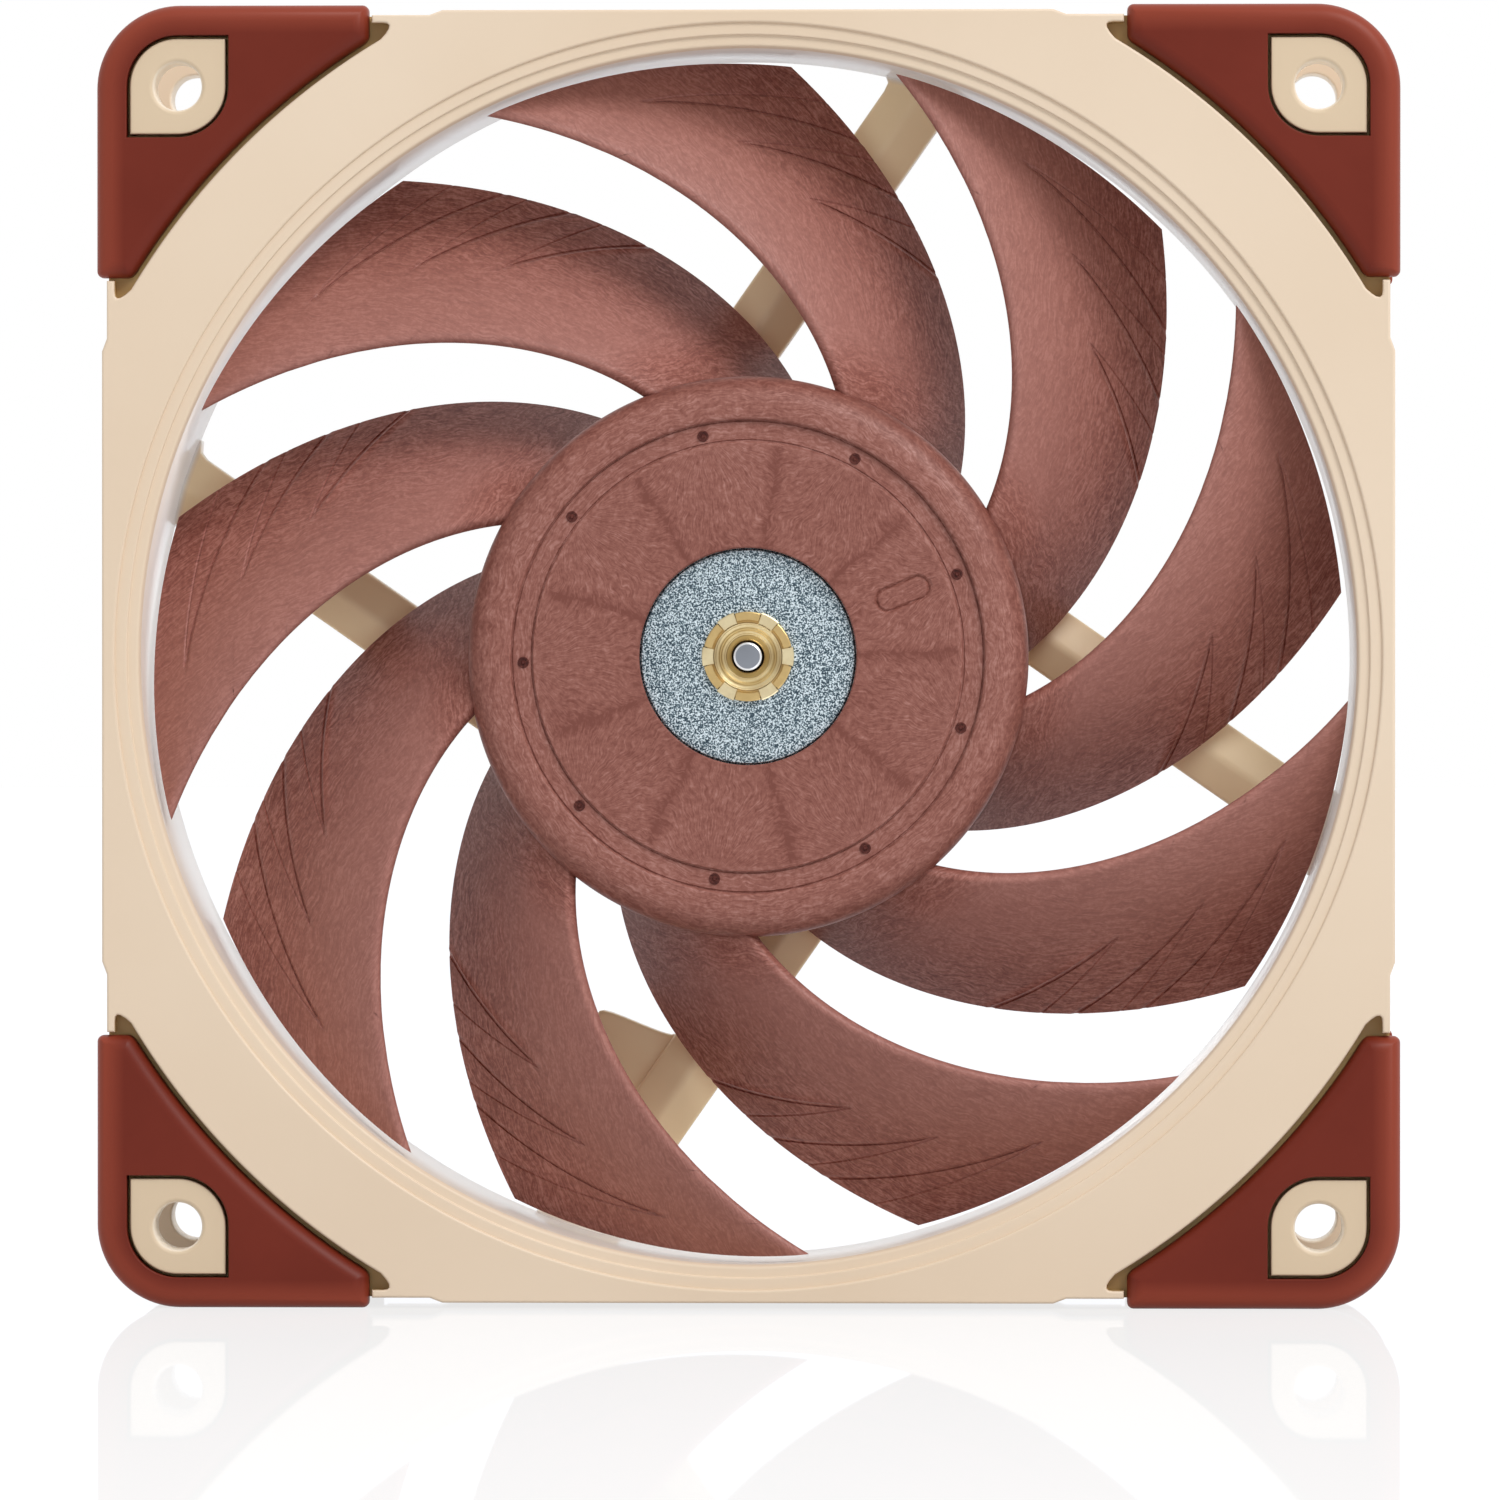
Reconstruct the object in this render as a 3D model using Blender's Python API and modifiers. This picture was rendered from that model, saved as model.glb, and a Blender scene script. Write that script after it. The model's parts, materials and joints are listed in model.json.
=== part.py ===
"""A 120 mm case fan, built as the separate pieces it would come apart into on a bench.

Units are metres. Every piece is modelled in the fan's own frame: X to the right and Y up as seen
from the intake side, Z along the shaft towards the intake. An empty then stands the fan upright,
so that the intake faces -Y and +Z is up. The origin is the middle of the fan, on the shaft's axis.
"""

import math

import bmesh
import bpy
from mathutils import Matrix, Vector

MM = 0.001
GAP = 0.3 * MM                      # between pieces that touch on the real fan

# Overall size
HALF_SIDE = 60.0 * MM               # centre to the outside of the rubber corner pads
HALF_DEPTH = 12.5 * MM              # middle to the face of the pads
HOLE_OFFSET = 52.5 * MM             # centre to each screw hole, along X and along Y

# Frame moulding
FACE = 12.1 * MM                    # middle to the plastic face, just under the pads
FLANGE_BACK = 7.0 * MM              # inner face of each square flange
FLANGE_HALF = 59.05 * MM            # half width beside the pads
FLANGE_HALF_MIDDLE = 59.5 * MM      # half width of the raised middle of each side
MIDDLE_LENGTH = 28.1 * MM           # half length of that raised middle
MIDDLE_RAMP = 1.2 * MM
SIDE_TAPER = 0.05 * MM              # each side widens by this much from the pad to the ramp
FLANGE_CORNER = 6.8 * MM
DUCT_OUTER = 58.4 * MM
DUCT_INNER = 56.0 * MM
INLET_STEPS = ((58.3 * MM, 0.3 * MM), (57.2 * MM, 0.6 * MM))   # radius and depth of each step
SCREW_HOLE = 2.2 * MM

# Corner pads and the recesses they sit in
PAD_THICKNESS = 2.5 * MM
PAD_LEG = 25.1 * MM
PAD_CORNER = 7.7 * MM
PAD_ROUND = 1.1 * MM
RECESS_RADIUS = 66.1 * MM
RECESS_TIP = 32.9 * MM              # the pocket runs on a little past the end of the pad
POCKET_WALL = 58.35 * MM
BOSS_HALF = 4.4 * MM                # the leaf-shaped screw boss

# Motor base and the four struts that carry it
BASE_RADIUS = 24.5 * MM
BASE_FRONT = -6.9 * MM
BASE_FLOOR = -9.0 * MM
BASE_WALL = 1.5 * MM
COLLAR_OUTER = 6.2 * MM
LABEL_RECESS = 18.5 * MM
LABEL_FLOOR = -11.4 * MM
STRUT_COUNT = 4
STRUT_ANGLE = 55.1                  # direction of the first strut, degrees
STRUT_OFFSET = 17.3 * MM            # the struts pass the centre at this distance
STRUT_HALF_WIDTH = 3.1 * MM
STRUT_BACK = -11.9 * MM
STRUT_EDGE = -8.8 * MM
STRUT_RIDGE = -7.5 * MM
CABLE_STRUT = 2                     # the strut that carries the cable channel
WEB_INNER_RADIUS = 36.1 * MM
WEB_EDGE = 7.1 * MM
WEB_FRONT = -9.4 * MM
CHANNEL_HALF_WIDTH = 1.2 * MM
CHANNEL_FLOOR = -10.2 * MM

# Impeller
BLADES = 9
TIP_RADIUS = 55.4 * MM
HUB_RADIUS = 25.8 * MM
HUB_BORE = 24.1 * MM                # inside of the hub's skirt, around the steel cup
HUB_FRONT = 11.6 * MM
HUB_PLATE = 11.4 * MM
HUB_CHANNEL = 11.05 * MM
HUB_INNER_FACE = 9.9 * MM
HUB_BACK = -6.2 * MM
HUB_WINDOW = 10.0 * MM              # central hole that shows the steel cup
ROOT_RADIUS = 24.9 * MM
BLADE_FRONT = 9.2 * MM
BLADE_BACK = -5.5 * MM
BLADE_SECTIONS = 6
SECTION_STATIONS = 6

# Motor
CUP_RADIUS = 23.7 * MM
CUP_SHEET = 0.8 * MM
CUP_FACE = 9.6 * MM
CUP_STEP = 9.65 * MM                # the middle of the cup is pressed forward out to this radius
CUP_STEP_FACE = 10.4 * MM
CUP_BACK = -5.9 * MM
SHAFT_RADIUS = 1.3 * MM
SLEEVE_BORE = 1.38 * MM             # running fit on the shaft
TUBE_INNER = 3.3 * MM
TUBE_OUTER = 4.4 * MM
STATOR_RADIUS = 20.2 * MM
STATOR_FRONT = 4.5 * MM
STATOR_BACK = -1.5 * MM
INSULATOR = 0.6 * MM
POLES = 4
TOOTH_HALF_WIDTH = 2.0 * MM
BOARD_FRONT = -5.2 * MM
BOARD_BACK = -6.2 * MM
BOARD_RADIUS = 19.8 * MM

DUCT_SEGMENTS = 72
HUB_SEGMENTS = 54
RING_SEGMENTS = 40
SMALL_SEGMENTS = 24

RUBBER = ("rubber", (0.13, 0.022, 0.013), 0.55, 0.0)
BEIGE = ("beige_plastic", (0.78, 0.62, 0.46), 0.45, 0.0)
BROWN = ("brown_plastic", (0.20, 0.075, 0.055), 0.5, 0.0)
STEEL = ("steel", (0.33, 0.38, 0.41), 0.45, 1.0)
BRASS = ("brass", (0.62, 0.43, 0.16), 0.3, 1.0)
BRONZE = ("bronze", (0.45, 0.28, 0.13), 0.5, 1.0)
MAGNET = ("magnet", (0.05, 0.05, 0.055), 0.7, 0.0)
LAMINATION = ("lamination", (0.22, 0.22, 0.24), 0.5, 1.0)
COPPER = ("copper", (0.60, 0.24, 0.11), 0.35, 1.0)
NYLON = ("nylon", (0.62, 0.61, 0.56), 0.5, 0.0)
BOARD = ("board", (0.03, 0.13, 0.06), 0.5, 0.0)
CHIP = ("chip", (0.02, 0.02, 0.022), 0.5, 0.0)
PAPER = ("paper", (0.35, 0.24, 0.18), 0.6, 0.0)


def clear_scene():
    for obj in list(bpy.data.objects):
        bpy.data.objects.remove(obj, do_unlink=True)


def new_collection(name):
    collection = bpy.data.collections.new(name)
    bpy.context.scene.collection.children.link(collection)
    return collection


clear_scene()
PARTS = new_collection("case_fan")
CUTTERS = new_collection("cutters")


def material(look):
    """The Principled material of a (name, colour, roughness, metallic) look, made once."""
    name, colour, roughness, metallic = look
    existing = bpy.data.materials.get(name)
    if existing:
        return existing
    made = bpy.data.materials.new(name)
    made.use_nodes = True
    shader = made.node_tree.nodes["Principled BSDF"]
    shader.inputs["Base Color"].default_value = (*colour, 1.0)
    shader.inputs["Roughness"].default_value = roughness
    shader.inputs["Metallic"].default_value = metallic
    return made


def add_part(obj, name, look):
    """Name a finished object, give it its material and file it with the parts."""
    obj.name = name
    obj.data.materials.clear()
    obj.data.materials.append(material(look))
    obj.data.shade_smooth()
    obj.data.set_sharp_from_angle(angle=math.radians(35))
    PARTS.objects.link(obj)
    return obj


def add_tool(obj):
    """File an object that cuts or is joined to a part, out of the render."""
    obj.hide_render = True
    obj.display_type = "WIRE"
    CUTTERS.objects.link(obj)
    return obj


def boolean(body, tool, operation):
    if not tool.users_collection:
        add_tool(tool)
    modifier = body.modifiers.new(tool.name, "BOOLEAN")
    modifier.operation = operation
    modifier.object = tool
    return body


def arc(centre, radius, start, end, steps):
    """Points along a circle from the start angle to the end angle, in degrees."""
    points = []
    for i in range(steps + 1):
        angle = math.radians(start + (end - start) * i / steps)
        points.append((centre[0] + radius * math.cos(angle), centre[1] + radius * math.sin(angle)))
    return points


def turn_points(points, degrees):
    turn = Matrix.Rotation(math.radians(degrees), 2)
    return [tuple(turn @ Vector(point)) for point in points]


def prism(name, outlines, low, high):
    """A filled flat outline, with any further outlines as holes, from height low to height high."""
    curve = bpy.data.curves.new(name, "CURVE")
    curve.dimensions = "2D"
    curve.fill_mode = "BOTH"
    curve.extrude = (high - low) / 2
    for outline in outlines:
        spline = curve.splines.new("POLY")
        spline.points.add(len(outline) - 1)
        for point, (x, y) in zip(spline.points, outline):
            point.co = (x, y, 0.0, 1.0)
        spline.use_cyclic_u = True
    drawing = bpy.data.objects.new(name + "_outline", curve)
    bpy.context.scene.collection.objects.link(drawing)
    depsgraph = bpy.context.evaluated_depsgraph_get()
    mesh = bpy.data.meshes.new_from_object(drawing.evaluated_get(depsgraph))
    bpy.data.objects.remove(drawing, do_unlink=True)
    mesh.transform(Matrix.Translation((0, 0, (low + high) / 2)))
    weld(mesh)
    return bpy.data.objects.new(name, mesh)


def weld(mesh):
    """Join a filled curve's loose caps to its sides, and merge each cap's triangles into one face."""
    work = bmesh.new()
    work.from_mesh(mesh)
    bmesh.ops.remove_doubles(work, verts=work.verts, dist=1e-6)
    bmesh.ops.dissolve_limit(work, angle_limit=math.radians(1), verts=[], edges=work.edges)
    bmesh.ops.recalc_face_normals(work, faces=work.faces)
    work.to_mesh(mesh)
    work.free()


def turned(name, profile, segments):
    """Turn (radius, height) points about Z; they run out along the front and down the outside."""
    mesh = bpy.data.meshes.new(name)
    is_ring = min(radius for radius, _ in profile) > 0
    edges = [(i, i + 1) for i in range(len(profile) - 1)]
    if is_ring:
        edges.append((len(profile) - 1, 0))
    mesh.from_pydata([(radius, 0, height) for radius, height in profile], edges, [])
    obj = bpy.data.objects.new(name, mesh)
    screw = obj.modifiers.new("Turn", "SCREW")
    screw.steps = segments
    screw.render_steps = segments
    screw.use_merge_vertices = True
    screw.merge_threshold = 1e-6
    screw.use_smooth_shade = True
    return obj


def cylinder(name, radius, low, high, segments, centre=(0.0, 0.0)):
    work = bmesh.new()
    place = Matrix.Translation((centre[0], centre[1], (low + high) / 2))
    bmesh.ops.create_cone(work, cap_ends=True, segments=segments, radius1=radius, radius2=radius,
                          depth=high - low, matrix=place)
    mesh = bpy.data.meshes.new(name)
    work.to_mesh(mesh)
    work.free()
    return bpy.data.objects.new(name, mesh)


def box(name, low, high):
    """An axis-aligned block between two corners."""
    size = Vector(high) - Vector(low)
    middle = (Vector(high) + Vector(low)) / 2
    work = bmesh.new()
    bmesh.ops.create_cube(work, size=1.0, matrix=Matrix.Translation(middle) @ Matrix.Diagonal((*size, 1)))
    mesh = bpy.data.meshes.new(name)
    work.to_mesh(mesh)
    work.free()
    return bpy.data.objects.new(name, mesh)


def repeated(name, obj, placements):
    """One object that holds a copy of a mesh at each placement matrix."""
    work = bmesh.new()
    for placement in placements:
        copy = obj.data.copy()
        copy.transform(placement)
        work.from_mesh(copy)
        bpy.data.meshes.remove(copy)
    mesh = bpy.data.meshes.new(name)
    work.to_mesh(mesh)
    work.free()
    bpy.data.objects.remove(obj, do_unlink=True)
    return bpy.data.objects.new(name, mesh)


def quarter_turns():
    return [Matrix.Rotation(math.radians(90 * k), 4, "Z") for k in range(4)]


def both_faces():
    """The four front corners, then the four rear ones, which are the front ones turned over."""
    turn_over = Matrix.Rotation(math.pi, 4, "X")
    return quarter_turns() + [turn_over @ turn for turn in quarter_turns()]


# Outlines

def flange_outline():
    """A square with rounded corners whose sides stand out a little along their middle."""
    inner_corner = FLANGE_HALF - FLANGE_CORNER
    ramp_foot = (FLANGE_HALF + SIDE_TAPER, MIDDLE_LENGTH + MIDDLE_RAMP)
    quarter = [(FLANGE_HALF_MIDDLE, MIDDLE_LENGTH), ramp_foot]
    quarter += arc((inner_corner, inner_corner), FLANGE_CORNER, 0, 90, 6)
    quarter += [ramp_foot[::-1], (MIDDLE_LENGTH, FLANGE_HALF_MIDDLE)]
    outline = []
    for k in range(4):
        outline += turn_points(quarter, 90 * k)
    return outline


def leaf_outline(half):
    """A square round the screw hole, rounded on the corners that lie on the fan's diagonal."""
    centre = (HOLE_OFFSET, HOLE_OFFSET)
    outline = arc(centre, half, 0, 90, 6) + [(HOLE_OFFSET - half, HOLE_OFFSET + half)]
    return outline + arc(centre, half, 180, 270, 6) + [(HOLE_OFFSET + half, HOLE_OFFSET - half)]


def pad_outline():
    start = HALF_SIDE - PAD_LEG
    inner_radius = RECESS_RADIUS + GAP
    reach = math.degrees(math.acos(start / inner_radius))
    corner = HALF_SIDE - PAD_CORNER
    outline = [(HALF_SIDE, start)] + arc((corner, corner), PAD_CORNER, 0, 90, 6)
    return outline + [(start, HALF_SIDE)] + arc((0, 0), inner_radius, reach, 90 - reach, 6)


def recess_outline():
    """The pad's seat, with a small pocket running on past each end of the pad."""
    outside = HALF_SIDE + MM
    shoulder = HALF_SIDE - PAD_LEG - GAP
    reach = math.degrees(math.acos(RECESS_TIP / RECESS_RADIUS))
    tip = RECESS_TIP + 0.5 * MM
    outline = [(POCKET_WALL, shoulder), (outside, shoulder), (outside, outside), (shoulder, outside),
               (shoulder, POCKET_WALL), (tip, POCKET_WALL)]
    return outline + arc((0, 0), RECESS_RADIUS, reach, 90 - reach, 8) + [(POCKET_WALL, tip)]


# Frame

def bore_cutter():
    """The air passage, stepped on the intake side and flared a little on the outlet side."""
    beyond = HALF_DEPTH + MM
    profile = [(0, beyond)]
    for i, (radius, depth) in enumerate(INLET_STEPS):
        profile.append((radius, beyond if i == 0 else FACE - INLET_STEPS[i - 1][1]))
        profile.append((radius, FACE - depth))
    lip = FACE - INLET_STEPS[-1][1]
    profile += [(DUCT_INNER + 0.3 * MM, lip), (DUCT_INNER, lip - 0.4 * MM)]
    profile += [(DUCT_INNER, -FACE + 0.6 * MM), (DUCT_INNER + 1.6 * MM, -FACE - MM), (0, -FACE - MM)]
    return turned("bore", profile, DUCT_SEGMENTS)


def strut_placement(index):
    """Local X across the strut, Y towards the intake and Z outwards along it."""
    angle = math.radians(STRUT_ANGLE + 360 / STRUT_COUNT * index)
    along = Vector((math.cos(angle), math.sin(angle), 0))
    across = Vector((-math.sin(angle), math.cos(angle), 0))
    front = Vector((0, 0, 1))
    return Matrix((across, front, along)).transposed().to_4x4()


def reach_along(radius, across):
    """How far along a strut a point at this sideways offset meets this radius."""
    return math.sqrt(radius ** 2 - across ** 2)


def struts():
    left = STRUT_OFFSET - STRUT_HALF_WIDTH
    right = STRUT_OFFSET + STRUT_HALF_WIDTH
    section = [(left, STRUT_BACK), (right, STRUT_BACK), (right, STRUT_EDGE),
               (STRUT_OFFSET, STRUT_RIDGE), (left, STRUT_EDGE)]
    middle_of_wall = (DUCT_INNER + DUCT_OUTER) / 2
    bar = prism("strut", [section], 8 * MM, reach_along(middle_of_wall, STRUT_OFFSET))
    return repeated("struts", bar, [strut_placement(i) for i in range(STRUT_COUNT)])


def cable_web():
    """The plate beside the strut that the cable runs along, from part way out to the duct."""
    outer = (DUCT_INNER + DUCT_OUTER) / 2
    plan = []
    for across, radius in ((WEB_EDGE, WEB_INNER_RADIUS), (WEB_EDGE, outer),
                           (STRUT_OFFSET, outer), (STRUT_OFFSET, WEB_INNER_RADIUS)):
        plan.append((reach_along(radius, across), across))
    plan = turn_points(plan, STRUT_ANGLE + 360 / STRUT_COUNT * CABLE_STRUT)
    return prism("cable_web", [plan], STRUT_BACK + 0.2 * MM, WEB_FRONT)


def cable_channel():
    """The groove along the rear of that strut, and the slot it comes out of the motor base by."""
    left = STRUT_OFFSET - CHANNEL_HALF_WIDTH
    right = STRUT_OFFSET + CHANNEL_HALF_WIDTH
    behind = -FACE - MM
    groove = box("groove", (left, behind, 12 * MM), (right, CHANNEL_FLOOR, 65 * MM))
    slot = box("cable_outlet", (left, behind, 11 * MM), (right, BASE_FLOOR + MM, 14 * MM))
    boolean(groove, slot, "UNION")
    for obj in (groove, slot):
        obj.data.transform(strut_placement(CABLE_STRUT))
    return groove


def frame():
    """One moulding: square flanges, round duct, screw bosses, struts and motor base."""
    body = prism("frame", [flange_outline()], FLANGE_BACK, FACE)
    body.data.name = "frame"
    rear = prism("rear_flange", [flange_outline()], -FACE, -FLANGE_BACK)
    duct = cylinder("duct", DUCT_OUTER, -FACE + MM, FACE - MM, DUCT_SEGMENTS)
    seats = repeated("pad_seats", prism("seat", [recess_outline()], HALF_DEPTH - PAD_THICKNESS - GAP,
                                        HALF_DEPTH + MM), both_faces())
    bosses = repeated("bosses", prism("boss", [leaf_outline(BOSS_HALF)], FLANGE_BACK + MM, FACE),
                      both_faces())
    base = cylinder("motor_base", BASE_RADIUS, -FACE, BASE_FRONT, RING_SEGMENTS)
    inside = BASE_RADIUS - BASE_WALL
    cavity = turned("base_cavity", [(COLLAR_OUTER, 0), (inside, 0), (inside, BASE_FLOOR),
                                    (COLLAR_OUTER, BASE_FLOOR)], RING_SEGMENTS)
    socket = cylinder("tube_socket", TUBE_OUTER + GAP, BASE_FLOOR, 0, SMALL_SEGMENTS)
    label_seat = cylinder("label_seat", LABEL_RECESS, -FACE - MM, LABEL_FLOOR, RING_SEGMENTS)
    hole = cylinder("screw_hole", SCREW_HOLE, -FACE - MM, FACE + MM, SMALL_SEGMENTS,
                    (HOLE_OFFSET, HOLE_OFFSET))
    holes = repeated("screw_holes", hole, quarter_turns())
    for tool, operation in ((rear, "UNION"), (duct, "UNION"), (seats, "DIFFERENCE"), (bosses, "UNION"),
                            (bore_cutter(), "DIFFERENCE"), (base, "UNION"), (struts(), "UNION"),
                            (cable_web(), "UNION"), (cavity, "DIFFERENCE"), (socket, "DIFFERENCE"),
                            (label_seat, "DIFFERENCE"), (cable_channel(), "DIFFERENCE"),
                            (holes, "DIFFERENCE")):
        boolean(body, tool, operation)
    return add_part(body, "frame", BEIGE)


def weigh_front_edges(mesh):
    """Give full bevel weight to the edges of the pad's front face alone."""
    weights = mesh.attributes.new("bevel_weight_edge", "FLOAT", "EDGE")
    for edge in mesh.edges:
        lowest = min(mesh.vertices[i].co.z for i in edge.vertices)
        weights.data[edge.index].value = float(lowest > HALF_DEPTH - PAD_ROUND)


def corner_pads():
    """Eight rubber pads that share one mesh, each round a screw boss."""
    pad = prism("pad", [pad_outline()], HALF_DEPTH - PAD_THICKNESS, HALF_DEPTH)
    rounding = pad.modifiers.new("Rounded edges", "BEVEL")
    rounding.width = PAD_ROUND
    rounding.segments = 1
    rounding.limit_method = "WEIGHT"
    weigh_front_edges(pad.data)
    leaf = prism("pad_window", [leaf_outline(BOSS_HALF + GAP)], 0, HALF_SIDE)
    boolean(pad, leaf, "DIFFERENCE")
    PARTS.objects.link(pad)
    depsgraph = bpy.context.evaluated_depsgraph_get()
    mesh = bpy.data.meshes.new_from_object(pad.evaluated_get(depsgraph))
    bpy.data.objects.remove(pad, do_unlink=True)
    corners = ("top_right", "top_left", "bottom_left", "bottom_right")
    rear_corners = ("bottom_right", "bottom_left", "top_left", "top_right")
    names = ["front_pad_" + corner for corner in corners]
    names += ["rear_pad_" + corner for corner in rear_corners]
    for name, placement in zip(names, both_faces()):
        obj = bpy.data.objects.new(name, mesh)
        obj.matrix_local = placement
        add_part(obj, name, RUBBER)


# Impeller

def trailing_angle(radius):
    """Where the trailing edge lies round the hub at this radius, in degrees: swept forward."""
    span = (radius - 27.0 * MM) / (29.55 * MM)
    return 4.1 + 51.66 * span - 7.6 * span ** 2


def chord_angle(radius):
    """How far the blade reaches round the hub, in degrees: least at the middle of its span."""
    return 28.4 + 1.1 * ((radius - 42.0 * MM) / (14.5 * MM)) ** 2


def blade_section(radius):
    """One aerofoil section, wrapped round the shaft's axis at this radius."""
    span = (radius - ROOT_RADIUS) / (TIP_RADIUS - ROOT_RADIUS)
    thickness = (2.6 - 0.9 * span) * MM
    camber = 0.11 - 0.04 * span
    chord = math.radians(chord_angle(radius))
    depth = BLADE_FRONT - BLADE_BACK
    front_side = []
    rear_side = []
    for i in range(SECTION_STATIONS + 1):
        along = (1 - math.cos(math.pi * i / SECTION_STATIONS)) / 2
        nose = 1 - along
        half = 5 * thickness * (0.2969 * math.sqrt(nose) - 0.126 * nose - 0.3516 * nose ** 2
                                + 0.2843 * nose ** 3 - 0.09 * nose ** 4)
        run = radius * chord
        rise = depth * (1 + 4 * camber * (1 - 2 * along))
        length = math.hypot(run, rise)
        angle = math.radians(trailing_angle(radius)) + chord * along
        height = BLADE_BACK + depth * (along + 4 * camber * along * nose)
        for side, points in ((1, front_side), (-1, rear_side)):
            swing = angle - side * half * rise / length / radius
            lift = height + side * half * run / length
            points.append((radius * math.cos(swing), radius * math.sin(swing), lift))
    return front_side + rear_side[-2::-1]


def blade():
    """A closed loft through the sections, from inside the hub's wall to the tip."""
    work = bmesh.new()
    rings = []
    for i in range(BLADE_SECTIONS):
        radius = ROOT_RADIUS + (TIP_RADIUS - ROOT_RADIUS) * i / (BLADE_SECTIONS - 1)
        rings.append([work.verts.new(point) for point in blade_section(radius)])
    count = len(rings[0])
    for inner, outer in zip(rings, rings[1:]):
        for j in range(count):
            following = (j + 1) % count
            work.faces.new((inner[j], inner[following], outer[following], outer[j]))
    work.faces.new(rings[0])
    work.faces.new(rings[-1])
    bmesh.ops.triangulate(work, faces=work.faces)
    bmesh.ops.recalc_face_normals(work, faces=work.faces)
    mesh = bpy.data.meshes.new("blade")
    work.to_mesh(mesh)
    work.free()
    return bpy.data.objects.new("blade", mesh)


def impeller():
    """The hub cup, with a shallow ring channel and a window in its face, and nine blades."""
    profile = [(HUB_WINDOW, HUB_PLATE), (19.6 * MM, HUB_PLATE), (19.6 * MM, HUB_CHANNEL),
               (21.7 * MM, HUB_CHANNEL), (21.9 * MM, HUB_FRONT), (23.6 * MM, HUB_FRONT),
               (24.8 * MM, 11.25 * MM), (25.5 * MM, 10.5 * MM), (HUB_RADIUS, 9.6 * MM),
               (HUB_RADIUS, HUB_BACK), (HUB_BORE, HUB_BACK), (HUB_BORE, 9.2 * MM),
               (HUB_BORE - 0.7 * MM, HUB_INNER_FACE), (HUB_WINDOW, HUB_INNER_FACE)]
    body = turned("impeller", profile, HUB_SEGMENTS)
    turns = [Matrix.Rotation(2 * math.pi * k / BLADES, 4, "Z") for k in range(BLADES)]
    boolean(body, repeated("blades", blade(), turns), "UNION")
    return add_part(body, "impeller", BROWN)


# Motor: the pieces that turn

def rotor_cup():
    """Pressed steel cup inside the hub, its middle stepped forward into the hub's window."""
    profile = [(4.5 * MM, CUP_STEP_FACE), (CUP_STEP, CUP_STEP_FACE), (CUP_STEP, CUP_FACE),
               (CUP_RADIUS - 0.6 * MM, CUP_FACE), (CUP_RADIUS, CUP_FACE - 0.6 * MM),
               (CUP_RADIUS, CUP_BACK), (CUP_RADIUS - CUP_SHEET, CUP_BACK),
               (CUP_RADIUS - CUP_SHEET, CUP_FACE - CUP_SHEET),
               (CUP_STEP - CUP_SHEET, CUP_FACE - CUP_SHEET),
               (CUP_STEP - CUP_SHEET, CUP_STEP_FACE - CUP_SHEET),
               (4.5 * MM, CUP_STEP_FACE - CUP_SHEET)]
    return add_part(turned("rotor_cup", profile, RING_SEGMENTS), "rotor_cup", STEEL)


def magnet_ring():
    outer = CUP_RADIUS - CUP_SHEET - GAP
    inner = STATOR_RADIUS + 0.4 * MM
    profile = [(inner, 8 * MM), (outer, 8 * MM), (outer, -5 * MM), (inner, -5 * MM)]
    return add_part(turned("magnet_ring", profile, RING_SEGMENTS), "magnet_ring", MAGNET)


def shaft_hub():
    """Brass boss that holds the shaft in the cup, notched round its front rim."""
    profile = [(1.6 * MM, 10.2 * MM), (2.3 * MM, 10.2 * MM), (3.2 * MM, 10.8 * MM),
               (3.3 * MM, 11.1 * MM), (4.1 * MM, 11.1 * MM), (4.2 * MM, 10.9 * MM),
               (4.2 * MM, 9.3 * MM), (5.8 * MM, 9.3 * MM), (5.8 * MM, 8.3 * MM), (1.6 * MM, 8.3 * MM)]
    body = turned("shaft_hub", profile, SMALL_SEGMENTS)
    notch = box("notch", (3.15 * MM, -0.9 * MM, 10.7 * MM), (5 * MM, 0.9 * MM, 12 * MM))
    turns = [Matrix.Rotation(math.radians(30 + 60 * k), 4, "Z") for k in range(6)]
    boolean(body, repeated("notches", notch, turns), "DIFFERENCE")
    return add_part(body, "shaft_hub", BRASS)


def shaft():
    """Steel shaft, chamfered in front, grooved near its rounded thrust end."""
    profile = [(0, 11.3 * MM), (1.08 * MM, 11.3 * MM), (SHAFT_RADIUS, 11.08 * MM),
               (SHAFT_RADIUS, -5.2 * MM), (1.0 * MM, -5.2 * MM), (1.0 * MM, -6.0 * MM),
               (SHAFT_RADIUS, -6.0 * MM), (SHAFT_RADIUS, -6.3 * MM), (0.8 * MM, -6.7 * MM),
               (0, -6.8 * MM)]
    return add_part(turned("shaft", profile, SMALL_SEGMENTS), "shaft", STEEL)


# Motor: the pieces that stay still

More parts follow.
